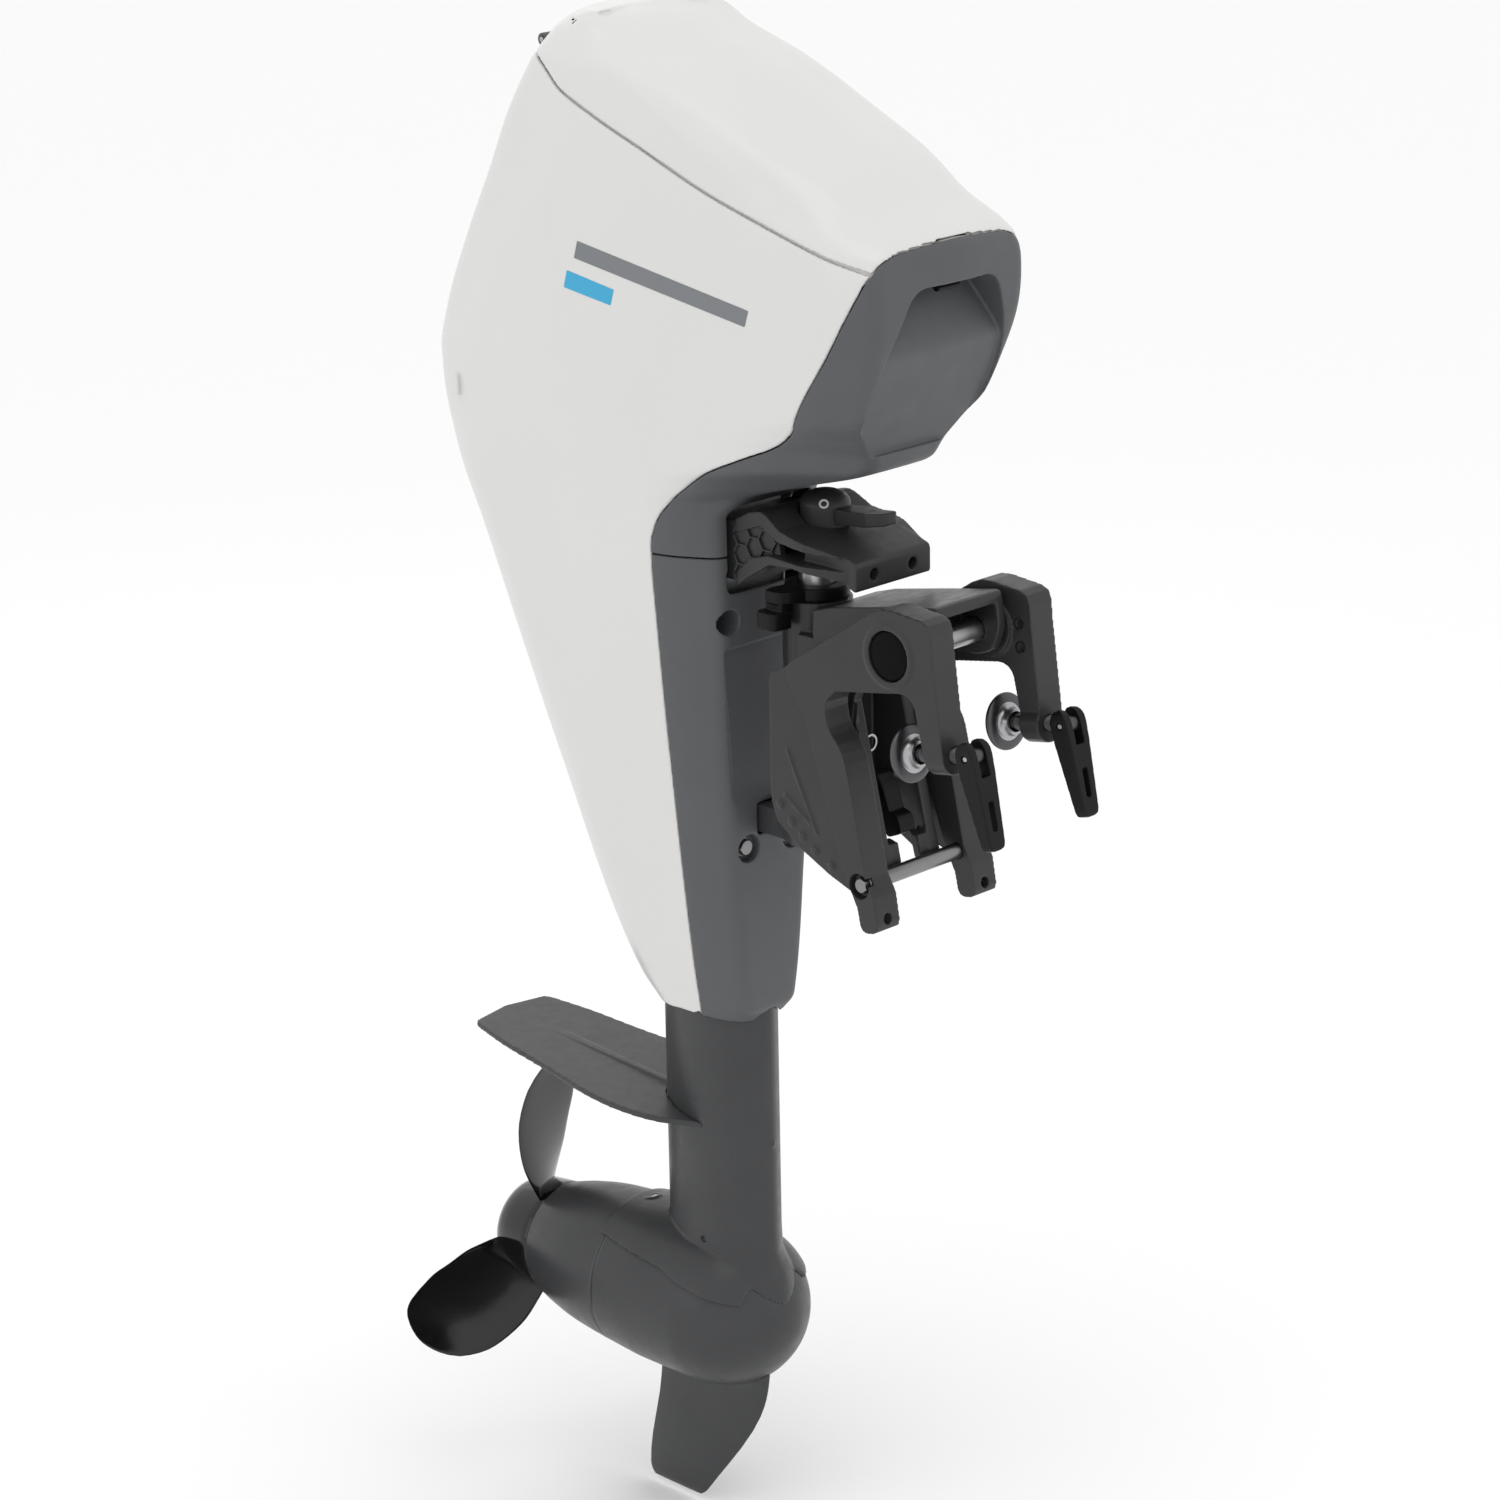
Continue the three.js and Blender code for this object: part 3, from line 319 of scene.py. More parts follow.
def even(obj, pitch, passes=6):
    """Remeshes a body in even squares and smooths it, which rolls its edges over."""
    step = obj.modifiers.new("even", "REMESH")
    step.mode = "VOXEL"
    step.voxel_size = pitch * MM
    settle(obj)
    step = obj.modifiers.new("smooth", "SMOOTH")
    step.factor = 0.5
    step.iterations = passes
    return settle(obj)


def from_cad(node):
    """A welded copy of a CAD node's mesh, as the start of the piece that replaces it."""
    obj = add_object(node, frame["nodes"][node].data.copy())
    work = bmesh.new()
    work.from_mesh(obj.data)
    bmesh.ops.remove_doubles(work, verts=work.verts, dist=2e-6)
    work.to_mesh(obj.data)
    work.free()
    return obj


def raked(obj):
    """Turns a piece drawn square to the transom into its place."""
    obj.data.transform(Matrix.Rotation(-RAKE, 4, "X"))
    return obj


def finish_piece(obj, name, body, slot, *nodes, sharp=35, finish=None):
    """Names a piece, gives it its material and has it ride on its body in place of CAD nodes."""
    obj.name = obj.data.name = name
    obj.data.materials.clear()
    obj.data.materials.append(finish or LOOKS[slot])
    obj.data.shade_smooth()
    obj.data.set_sharp_from_angle(angle=math.radians(sharp))
    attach(obj, body)
    if nodes:
        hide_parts(*nodes)
    return obj


# ---------------------------------------------------------------- materials
def look(name, colour, rough, metal=0.0, coat=0.0, shine=0.5, mottle=0.05, mottle_scale=9.0,
         rough_spread=0.05, grain=None, peel=None, stretch=(1, 1, 1), edge_highlight=0.0):
    """A surface with slow colour variation, fine relief and uneven gloss.

    grain and peel are (scale per metre, height in millimetres) of fine and of broad relief, stretch scales
    the fine relief's axes, and edge_highlight lightens the base colour on convex edges, a painted highlight
    along them.
    """
    material = bpy.data.materials.new(name)
    material.use_nodes = True
    nodes, links = material.node_tree.nodes, material.node_tree.links
    shader = nodes["Principled BSDF"]
    shader.inputs["Metallic"].default_value = metal
    shader.inputs["Coat Weight"].default_value = coat
    shader.inputs["Specular IOR Level"].default_value = shine
    shader.inputs["Coat Roughness"].default_value = 0.12
    place = nodes.new("ShaderNodeTexCoord").outputs["Object"]

    def noise(scale, detail, scaled=(1, 1, 1)):
        mapping = nodes.new("ShaderNodeMapping")
        mapping.inputs["Scale"].default_value = scaled
        links.new(place, mapping.inputs["Vector"])
        texture = nodes.new("ShaderNodeTexNoise")
        texture.inputs["Scale"].default_value = scale
        texture.inputs["Detail"].default_value = detail
        links.new(mapping.outputs["Vector"], texture.inputs["Vector"])
        return texture.outputs["Fac"]

    def spread(value, low, high):
        ranged = nodes.new("ShaderNodeMapRange")
        ranged.inputs["From Min"].default_value = 0.3
        ranged.inputs["From Max"].default_value = 0.7
        ranged.inputs["To Min"].default_value = low
        ranged.inputs["To Max"].default_value = high
        links.new(value, ranged.inputs["Value"])
        return ranged.outputs["Result"]

    mix = nodes.new("ShaderNodeMix")
    mix.data_type = "RGBA"
    mix.inputs["A"].default_value = (*[c * (1 - mottle) for c in colour], 1)
    mix.inputs["B"].default_value = (*[min(c * (1 + mottle), 1) for c in colour], 1)
    links.new(spread(noise(mottle_scale, 3), 0, 1), mix.inputs["Factor"])
    tint = mix.outputs["Result"]
    # painted highlight: the base colour is lightened where the surface is convex, along its edges
    if edge_highlight:
        edges = nodes.new("ShaderNodeNewGeometry").outputs["Pointiness"]
        highlight_range = nodes.new("ShaderNodeMapRange")
        highlight_range.inputs["From Min"].default_value = 0.52
        highlight_range.inputs["From Max"].default_value = 0.62
        highlight_range.inputs["To Max"].default_value = edge_highlight
        links.new(edges, highlight_range.inputs["Value"])
        highlight_mix = nodes.new("ShaderNodeMix")
        highlight_mix.data_type = "RGBA"
        highlight_mix.inputs["B"].default_value = (*[min(c * 2.2 + 0.02, 1) for c in colour], 1)
        links.new(highlight_range.outputs["Result"], highlight_mix.inputs["Factor"])
        links.new(tint, highlight_mix.inputs["A"])
        tint = highlight_mix.outputs["Result"]
    links.new(tint, shader.inputs["Base Color"])
    links.new(spread(noise(mottle_scale * 7, 4, stretch), rough - rough_spread, rough + rough_spread),
              shader.inputs["Roughness"])
    normal = None
    for relief, scaled in ((peel, (1, 1, 1)), (grain, stretch)):
        if not relief:
            continue
        bump = nodes.new("ShaderNodeBump")
        bump.inputs["Strength"].default_value = 1
        bump.inputs["Distance"].default_value = relief[1] * MM
        links.new(noise(relief[0], 4, scaled), bump.inputs["Height"])
        if normal:
            links.new(normal, bump.inputs["Normal"])
        normal = bump.outputs["Normal"]
    if normal:
        links.new(normal, shader.inputs["Normal"])
    return material


# edge_highlight in these looks paints a highlight onto convex edges
LOOKS = {
    "cowl_white": look("cowl_white", (0.67, 0.667, 0.655), 0.36, coat=0.2, shine=0.4, mottle=0.012,
                       mottle_scale=5, peel=(160, 0.03), grain=(1400, 0.006)),
    "cover_grey": look("cover_grey", (0.085, 0.088, 0.094), 0.5, shine=0.35, mottle=0.04, peel=(260, 0.02),
                       grain=(2600, 0.03)),
    "cast_charcoal": look("cast_charcoal", (0.041, 0.042, 0.044), 0.36, shine=0.35, mottle=0.08,
                          mottle_scale=16, peel=(420, 0.03), grain=(1900, 0.01), edge_highlight=0.3),
    "black_plastic": look("black_plastic", (0.006, 0.006, 0.0065), 0.4, shine=0.16, mottle=0.12,
                          mottle_scale=22, grain=(2200, 0.02), edge_highlight=0.2),
    "propeller_black": look("propeller_black", (0.004, 0.004, 0.0045), 0.12, coat=0.22, shine=0.4, mottle=0.1,
                            peel=(110, 0.02), rough_spread=0.03),
    "bright_steel": look("bright_steel", (0.42, 0.42, 0.43), 0.3, metal=1, mottle=0.03, mottle_scale=14,
                         rough_spread=0.02),
    "bare_aluminium": look("bare_aluminium", (0.50, 0.51, 0.52), 0.4, metal=1, mottle=0.08, mottle_scale=30,
                           grain=(1300, 0.02)),
    "winding_copper": look("winding_copper", (0.55, 0.27, 0.12), 0.35, metal=1, mottle=0.15,
                           mottle_scale=120, grain=(700, 0.15), stretch=(1, 0.1, 1)),
    "black_rubber": look("black_rubber", (0.012, 0.012, 0.012), 0.72, shine=0.3, mottle=0.1,
                         grain=(1500, 0.05)),
}
MARK_GREY = look("mark_grey", (0.17, 0.18, 0.19), 0.4, mottle=0.02, grain=(1800, 0.006))
MARK_BLUE = look("mark_blue", (0.03, 0.36, 0.60), 0.4, mottle=0.02, grain=(1800, 0.006))
MARK_WHITE = look("mark_white", (0.60, 0.60, 0.60), 0.5, mottle=0.02)
MATT_BLACK = look("matt_black", (0.0018, 0.0018, 0.0018), 0.6, shine=0.08, mottle=0.1, grain=(2200, 0.02))
# edge_highlight in these looks also paints a highlight onto convex edges
YOKE_BLACK = look("yoke_black", (0.030, 0.0305, 0.0315), 0.42, shine=0.3, mottle=0.08, mottle_scale=18,
                  grain=(2000, 0.02), edge_highlight=0.2)
BRACKET_CHARCOAL = look("bracket_charcoal", (0.025, 0.0255, 0.027), 0.36, shine=0.35, mottle=0.08,
                        mottle_scale=16, peel=(420, 0.03), grain=(1900, 0.01), edge_highlight=0.3)
SATIN_STEEL = look("satin_steel", (0.24, 0.24, 0.245), 0.34, metal=1, mottle=0.05, mottle_scale=30,
                   rough_spread=0.03)
DARK_STEEL = look("dark_steel", (0.10, 0.10, 0.105), 0.36, metal=1, mottle=0.08, mottle_scale=40)


# ---------------------------------------------------------------- the cowl
COWL = {
    "front": [[-302, 146], [-290, 139], [-126, 138], [0, 134], [100, 134], [108, 128], [115, 119], [133, 63],
              [153, 2], [160, -3], [315, -56.7], [320, -55], [342, -17], [370, 20], [390, 58], [414, 107],
              [439, 176], [452, 215], [457, 245]],
    "rear": [[-302, 240], [-287, 257], [-260, 272], [-124, 320], [59, 382], [127, 403], [169, 411],
             [192, 412], [228, 402], [285, 376], [333, 351], [380, 328], [423, 300], [448, 281], [457, 268]],
    "crease": [[-302, 222], [-260, 242], [-124, 290], [59, 352], [111, 370], [158, 371], [198, 363],
               [239, 343], [276, 319], [329, 273], [361, 254], [457, 246]],
    "half": [[-302, 36], [-250, 44], [-100, 61], [60, 76], [150, 86], [200, 89], [300, 90], [420, 88],
             [439, 80], [452, 68], [457, 58]],
    "flat": [[-302, 22], [-287, 28], [-189, 39], [-80, 47], [0, 50], [100, 52], [115, 42], [153, 37],
             [163, 38], [178, 48], [200, 66], [228, 70], [258, 74], [300, 76], [315, 71], [322, 68],
             [333, 69], [346, 71], [380, 69], [414, 65], [439, 58], [457, 42]],
    "droop": [[200, 1], [258, 3], [300, 10], [322, 15], [333, 19], [350, 18], [380, 28], [425, 31],
              [457, 20]],
    "flare": [[-302, 20], [-250, 30], [0, 36], [115, 42], [133, 72], [163, 78], [178, 66], [200, 46],
              [313, 44], [330, 58], [350, 68], [430, 60], [457, 12]],
}
READ = {name: smooth_reading(table) for name, table in COWL.items()}
CORNER_ROUND = smooth_reading([[315, 10], [334, 30], [457, 30]])
WALL = 3
COWL_LOW, COWL_HIGH = -302, 457
LID_SEAM = [[-80, 303], [-51, 305], [-22, 311], [53, 331], [111, 348], [171, 371], [211, 386], [252, 404],
            [288, 424], [345, 428]]
WHITE_EDGE = [[-58, 332], [-41, 307], [-28, 285], [-4, 245], [17, 214], [27, 197], [35, 185], [54, 171],
              [84, 158], [122, 141], [152, 122], [172, 104], [181, 88], [185, 70], [186, 3], [184, -320]]
CHIN_SEAM = 70
SEAM_HALF = 0.35
LID_GROOVE = 1.1  # the lid's seam is an open groove with a ledge behind it
WIDE = 130


def inward(name, z, depth, side):
    """How far in the wall's inner face is, `depth` behind an outer line."""
    shares = np.linspace(-1, 1, 9) * depth
    return side * max(side * READ[name](z + s) + math.sqrt(max(depth * depth - s * s, 0)) for s in shares)


def cowl_ring(z, depth):
    front, rear = inward("front", z, depth, 1), inward("rear", z, depth, -1)
    half = READ["half"](z) - depth
    flat = min(READ["flat"](z) - depth / 2, half - 6)
    shoulder = min(front + READ["flare"](z), rear - 30)
    crease = min(max(READ["crease"](z), shoulder + 12), rear - 10)
    side = [(flat, front + READ["droop"](z), CORNER_ROUND(z)), (half - 4, shoulder, 34), (half, crease, 10),
            (half - 12, rear, 22)]
    corners = [(0, front, 22), *side, (0, rear + 13, 46), *mirrored(side)]
    return [(x, y, z) for x, y in rounded(corners, 8)]


def cowl_levels():
    fine = [(-302, -284, 2), (-284, 96, 8), (96, 186, 3), (186, 306, 6), (306, 326, 1.5), (326, 430, 4),
            (430, 457, 1.5)]
    levels = [z for low, high, step in fine for z in np.arange(low, high - 0.01, step)]
    return levels + [COWL_HIGH]


def cowl_solid(depth, low, high):
    levels = [low] + [z for z in cowl_levels() if low + 0.4 < z < high - 0.4] + [high]
    return loft([cowl_ring(z, depth) for z in levels])


def beside(line, shift):
    """A line in (Y, Z) moved sideways, to its left when shift is positive."""
    p = np.array(line, float)
    run = np.gradient(p, axis=0)
    run /= np.linalg.norm(run, axis=1)[:, None]
    return [tuple(q) for q in p + shift * np.stack([-run[:, 1], run[:, 0]], axis=1)]


SEAM_LINE = spline(LID_SEAM)
EDGE_LINE = spline(WHITE_EDGE)
EDGE_LINE[-1] = np.array((184.0, -330.0))  # past the covers' lower edge


def above_seam(shift):
    """Everything above the lid's seam, from `shift` above it."""
    return prism([*beside(SEAM_LINE, shift), (345, 500), (-80, 500)], "x", -WIDE, WIDE)


def ahead(shift):
    """Everything ahead of the white panels' front edge, from `shift` ahead of it."""
    line = beside(EDGE_LINE, -shift)
    return prism([*line, (0, -330), (-110, 0), (-110, 330)], "x", -WIDE, WIDE)


def bezel_plate(more):
    """The bezel's own plate, which rises in front of the lid to an arched top edge."""
    half = [(79 + more, 240), (79 + more, 300 + more, 4), (72, 311 + more, 6), (57, 317.5 + more, 14)]
    arch = rounded([*half, (0, 323 + 2.7 * more, 60), *mirrored(half)], 10)
    side = [(-90, 286 - more), (-30 + more, 286 - more), (-41 + more, 307), (-42 + more, 326 + more),
            (-90, 331 + more)]
    return common(prism(side, "x", -WIDE, WIDE), prism(arch, "y", -100, 10))


def leg_ring(z, more=0.0):
    """The leg's section: a blunt nose, full sides and a narrow tail."""
    low, high, half = 143 - more, 252 + more, 31 + more
    side = [(0.03, 0.3), (0.1, 0.62), (0.22, 0.88), (0.4, 1), (0.62, 0.94), (0.82, 0.68), (0.96, 0.34)]
    flank = [(half * x, low + y * (high - low)) for y, x in side]
    return [(x, y, z) for x, y in spline([(0, low), *flank, (0, high), *mirrored(flank)], 5, closed=True)]


def pocket(more):
    """The bezel's pocket: a shallow panel below, deepening above a ledge into a hand grip."""
    half = [(44 + more, 166 - more, 8), (62 + more, 196, 16), (65 + more, 220, 16), (59 + more, 250, 30),
            (42 + more, 292 + more, 14)]
    front = READ["front"]
    depth = [(-120, 158), (-120, 310), (front(292) + 40 + more, 292 + more), (front(252) + 11 + more, 252, 8),
             (front(244) + 5.5 + more, 244, 8), (front(166) + 4 + more, 166 - more)]
    return common(prism(rounded(half + mirrored(half), 8), "y", -130, 60),
                  prism(rounded(depth), "x", -WIDE, WIDE))


BOLTS = (("upper", 42, 20, 9.6, 158), ("lower", 23, -160, 10.8, 147))  # name, x, z, well radius and floor
HINGE_Y, HINGE_Z = 317, 428
YOKE_DOOR = [(-44, 41, 7), (44, 41, 7), (44, 108, 13), (-44, 108, 13)]


def build_covers():
    outer = cowl_solid(0, COWL_LOW, COWL_HIGH)
    skin = cut(clone(outer), cowl_solid(WALL, COWL_LOW + 5, COWL_HIGH - 3.5))
    leg_hole = loft([leg_ring(z, 1.6) for z in (-330, -250)])
    yoke_door = prism(rounded(YOKE_DOOR), "y", 90, 151)

    lid = common(cut(clone(skin), bezel_plate(0.6)), above_seam(LID_GROOVE))
    lid = even(gather(lid, block((-8, 8), (-42, -38.4), (306, 327))), 1.3, 5)
    lid_knuckles = [rod((x - 9, HINGE_Y, HINGE_Z), (1, 0, 0), 18, 5, 0.6, 32) for x in (-24, 24)]
    finish_piece(gather(lid, *lid_knuckles), "lid_shell", "lid", "cowl_white", "lid")

    hoop = cut(cowl_solid(WALL + 0.3, 280, 430), cowl_solid(WALL + 2, 270, 440))
    band = common(clone(hoop), above_seam(-5), block((-WIDE, WIDE), (-60, 330), (290, 425)))
    band = cut(band, above_seam(5))
    bow = common(hoop, block((-WIDE, WIDE), (-60, -34), (300, 329)))
    latch_gap = block((-16, 16), (-46, -15), (280, 335))
    finish_piece(cut(join(band, bow), latch_gap), "seam_ledge", "drive", "cowl_white")

    behind = cut(clone(skin), ahead(-SEAM_HALF), above_seam(-LID_GROOVE), bezel_plate(0.6), clone(leg_hole))
    for name, side in SIDES:
        panel = common(clone(behind), block(span(side, SEAM_HALF, WIDE), (-120, 450), (-310, 460)))
        finish_piece(even(panel, 1.3, 5), f"side_panel_{name}", "drive", "cowl_white", f"side_cowl_{name}")
        line = rounded([(372.5, 162, 2.2), (377.5, 162, 2.2), (377.5, 178, 2.2), (372.5, 178, 2.2)])
        clip = prism(line, "x", *span(side, 84, 89.6))
        finish_piece(even(clip, 0.4, 3), f"panel_clip_{name}", "drive", "cowl_white", f"cowl_clip_{name}")
    bpy.data.objects.remove(behind)

    zone = common(clone(outer), join(cut(ahead(SEAM_HALF), above_seam(-SEAM_HALF)), bezel_plate(0)))
    grip_wall = common(pocket(WALL), join(cowl_solid(WALL + 0.4, COWL_LOW + 6, COWL_HIGH - 4), clone(zone)))
    chin = join(common(clone(skin), zone), cut(grip_wall, pocket(0)))
    chin = common(chin, block((-WIDE, WIDE), (-120, 200), (CHIN_SEAM + SEAM_HALF, 340)))
    chin = cut(chin, clone(yoke_door), pocket(0), block((-14, 14), (-52, -4), (284, 301)))
    finish_piece(even(chin, 1.0, 5), "chin_shell", "drive", "cover_grey", "chin_cover")

    under = block((-WIDE, WIDE), (100, 200), (-310, CHIN_SEAM - SEAM_HALF))
    places = [(side * x, z, well, floor) for _, x, z, well, floor in BOLTS for side in (-1, 1)]
    backing = [rod((x, 134, z), (0, 1, 0), floor - 130.5, well + 1.5, 0, 32) for x, z, well, floor in places]
    backing.append(block((-51, 51), (135, 143.5), (-125, 4)))
    backing = [cut(common(piece, clone(outer)), clone(yoke_door)) for piece in backing]
    mid = join(common(clone(skin), ahead(SEAM_HALF), under), *backing)
    recess = prism(rounded([(-39, -121, 4), (39, -121, 4), (47, 0, 4), (-47, 0, 4)]), "y", 120, 139.5)
    wells = [rod((x, 120, z), (0, 1, 0), floor - 120, well, 0, 48) for x, z, well, floor in places]
    bores = [rod((x, 120, z), (0, 1, 0), floor - 107, 3.3, 0, 24) for x, z, well, floor in places]
    arm_hole = block((-14, 14), (120, 151), (-151.5, -126.5))
    mid = cut(mid, leg_hole, yoke_door, arm_hole, recess, *wells, *bores)
    finish_piece(even(mid, 1.0, 5), "mid_shell", "drive", "cover_grey", "mid_cover")
    bpy.data.objects.remove(outer)
    bpy.data.objects.remove(skin)

    for height, out, z, _, floor in BOLTS:
        for name, side in SIDES:
            x = side * out
            head = hexagon((x, floor - 0.4, z), (0, -1, 0), 5, 11)
            bolt = join(head, rod((x, floor - 1, z), (0, 1, 0), 5.6, 3))
            washer = turned([(0, 3.4), (0, 7.2), (0.5, 7.6), (1.0, 7.2), (1.0, 3.4)], (x, floor - 1.4, z),
                            (0, 1, 0), 48)
            finish_piece(gather(bolt, washer), f"cover_screw_{height}_{name}", "drive", "bright_steel",
                         f"cover_bolt_{height}_{name}", finish=SATIN_STEEL)


def side_mark(name, corners, panel, side, material):
    """A thin printed shape laid on a side panel: its corners (Y, Z) are found there by rays from outside."""
    bpy.context.view_layer.update()
    tree = BVHTree.FromObject(bpy.data.objects[panel], bpy.context.evaluated_depsgraph_get())
    flat = bmesh.new()
    flat.faces.new([flat.verts.new((0, y * MM, z * MM)) for y, z in rounded(corners)])
    bmesh.ops.triangulate(flat, faces=flat.faces)
    for _ in range(4):
        long = [e for e in flat.edges if e.calc_length() > 6 * MM]
        bmesh.ops.subdivide_edges(flat, edges=long, cuts=1)
        bmesh.ops.triangulate(flat, faces=flat.faces)
    for vert in flat.verts:
        hit, normal, _, _ = tree.ray_cast(Vector((side * 0.2, vert.co.y, vert.co.z)), Vector((-side, 0, 0)))
        vert.co = hit + normal * 0.12 * MM
    mesh = bpy.data.meshes.new(name)
    bmesh.ops.recalc_face_normals(flat, faces=flat.faces)
    flat.to_mesh(mesh)
    flat.free()
    obj = add_object(name, mesh)
    thick = obj.modifiers.new("thick", "SOLIDIFY")
    thick.thickness = 0.1 * MM
    thick.offset = 1
    settle(obj)
    finish_piece(obj, name, "drive", "cowl_white", finish=material)


# ---------------------------------------------------------------- leg, plate, pod and propeller
POD_Z = -557
POD = smooth_reading([[128, 0], [128.6, 7], [130, 13], [136, 27], [146, 42], [160, 54], [178, 61.5],
                      [200, 65], [250, 65], [287, 63], [330, 59], [360, 53], [380, 47]])
POD_SPLIT, POD_END = 287, 379.6


def pod_profile(low, high, more=0.0, edge=0.0):
    """The pod's outline between two stations, with the edges at its ends eased."""
    stations = [*np.arange(low, high, 2.0), high]
    profile = [(y, POD(y) + more - (edge if y in (low, high) and y > 130 else 0)) for y in stations]
    return [(low, 0), *[p for p in profile if p[1] > 0], (high, 0)]


def about_pod(profile, sides=96):
    return turned(profile, (0, 0, POD_Z), (0, 1, 0), sides)


def pod_room():
    """The pod's body and a little clearance, to cut from what sits on it."""
    return about_pod(pod_profile(128, 300, 0.3))


def build_leg():
    levels = [-546, -540, -530, -522, -516, -511, -507, -503, -500, -480, -400, -330, -262]
    flare = smooth_reading([[-546, 12], [-530, 11], [-516, 7.5], [-507, 3], [-498, 0.5], [-485, 0],
                            [-262, 0]])
    column = loft([leg_ring(z, flare(z)) for z in levels])
    saddle = common(about_pod(pod_profile(140, 292, 3.4)),
                    prism([(146, -532), (215, -516), (292, -510), (292, -470), (146, -470)], "x", -80, 80))
    saddle = cut(saddle, pod_room())
    column = cut(column, pod_room())
    boss = turned([(-2, 0), (-2, 10.5), (12, 9.5), (17, 8.5), (19, 7), (19, 4.6), (15, 4.2), (15, 0)],
                  (0, 274, -508), (0, 0.25, 1), 48)
    boss = cut(boss, pod_room())
    nub = turned([(-3, 0), (-3, 3.6), (1.2, 3.2), (2.2, 2), (2.2, 0)], (0, 144, -407), (0, -1, 0), 32)
    plate_line = prism(rounded([(120, -383.5), (300, -369.5), (300, -368.3), (120, -382.3)]), "x", -60, 60)
    groove = cut(plate_line, loft([leg_ring(z, -0.7) for z in (-420, -330)]))
    bore = rod((0, 200, -560), (0, 0, 1), 320, 11)
    drains = [rod((side * 60, 190, -491), (-side, 0, 0), 32, 2.6, 0, 24) for _, side in SIDES]
    leg = cut(join(column, saddle, boss, nub), bore, groove, *drains)
    finish_piece(even(leg, 1.0, 7), "leg_casting", "drive", "cast_charcoal", "leg_housing")
    screw = hexagon((0, 277.7, -493.4), (0, 0.25, 1), 3.4, 8)
    finish_piece(screw, "leg_screw", "drive", "bright_steel")


PLATE_SLOPE = 0.0811


def plate_height(y):
    return -387 + (y - 260) * PLATE_SLOPE


def build_plate():
    half = [(26, 178), (33, 192, 8), (53, 223, 20), (60, 258, 20), (60, 290, 20), (52, 348, 30),
            (48, 395, 20), (39, 439, 5)]
    plan = [*half, (0, 446.4), *mirrored(half)]
    slab = prism([(170, plate_height(170) - 5), (460, plate_height(460) - 4), (460, plate_height(460)),
                  (170, plate_height(170))], "x", -80, 80)
    slab = common(prism(rounded(plan, 8), "z", -420, -340), slab)
    ridge = prism([(245, plate_height(245) - 2), (390, plate_height(390) - 2), (390, plate_height(390)),
                   (320, plate_height(320) + 1.5), (245, plate_height(245) + 3)], "x", -3.2, 3.2)
    plate = cut(join(slab, ridge), loft([leg_ring(z, 0.3) for z in (-430, -330)]))
    finish_piece(even(plate, 0.9, 5), "ventilation_plate", "drive", "cast_charcoal", "anti_ventilation_plate")


def build_pod():
    nose = about_pod(pod_profile(128, POD_SPLIT - 0.3, 0, 0.8))
    hollow = about_pod([(182, 0), (182, 15.3), (196, 15.3), (196, 44), (206, 57), (290, 57), (290, 0)])
    nose = cut(nose, hollow, rod((0, 201, -530), (0, 0, 1), 60, 9, 0, 40))
    finish_piece(nose, "pod_front", "drive", "cast_charcoal", "pod_nose", sharp=50)
    tail = about_pod(pod_profile(POD_SPLIT + 0.3, POD_END, 0, 0.8))
    hollow = about_pod([(280, 0), (280, 57.4), (300, 56.5), (330, 53.5), (358, 47), (364, 44), (364, 16.3),
                        (390, 16.3), (390, 0)])
    tail = cut(tail, hollow)
    finish_piece(tail, "pod_rear", "drive", "cast_charcoal", "motor_housing", sharp=50)


def build_skeg():
    lead = smooth_reading([[-736.4, 231], [-733, 226], [-727, 221], [-621, 153.6], [-595, 150]])
    trail = smooth_reading([[-736.4, 284], [-733, 287], [-727, 288.6], [-649, 274], [-595, 268]])
    thick = smooth_reading([[-736.4, 0.5], [-735, 1.3], [-728, 2.6], [-640, 4.6], [-626, 5.6], [-617, 8.2],
                            [-612, 10.5], [-595, 11]])
    shape = smooth_reading([[0, 0.06], [0.04, 0.4], [0.15, 0.8], [0.35, 1], [0.7, 0.82], [0.93, 0.36],
                            [1, 0.08]])
    rings = []
    for z in [-736.6, -736, -735, -733, -730, -727, -715, -700, -680, -660, -645, -635, -628, -623, -619,
              -615, -611, -606, -597]:
        y0, y1, half = lead(z), trail(z), thick(z)
        shares = [0.5 - 0.5 * math.cos(math.pi * k / 24) for k in range(25)]
        ring = [(half * shape(s), y0 + s * (y1 - y0), z) for s in shares]
        rings.append(ring + mirrored(ring))
    fin = cut(loft(rings), pod_room())
    finish_piece(fin, "skeg_fin", "drive", "cast_charcoal", "skeg", sharp=50)


PROP_Y, PITCH, BLADES = 402, 190, 3
CHORD = smooth_reading([[34, 52], [55, 68], [80, 83], [105, 86], [125, 74], [137, 56], [144, 38], [147.4, 20],
                        [148, 8]])
SKEW = smooth_reading([[34, 0], [80, 0.02], [125, 0.12], [148, 0.24]])
THICK = smooth_reading([[34, 5.6], [44, 4.0], [60, 3.0], [110, 1.9], [140, 1.1], [148, 0.4]])


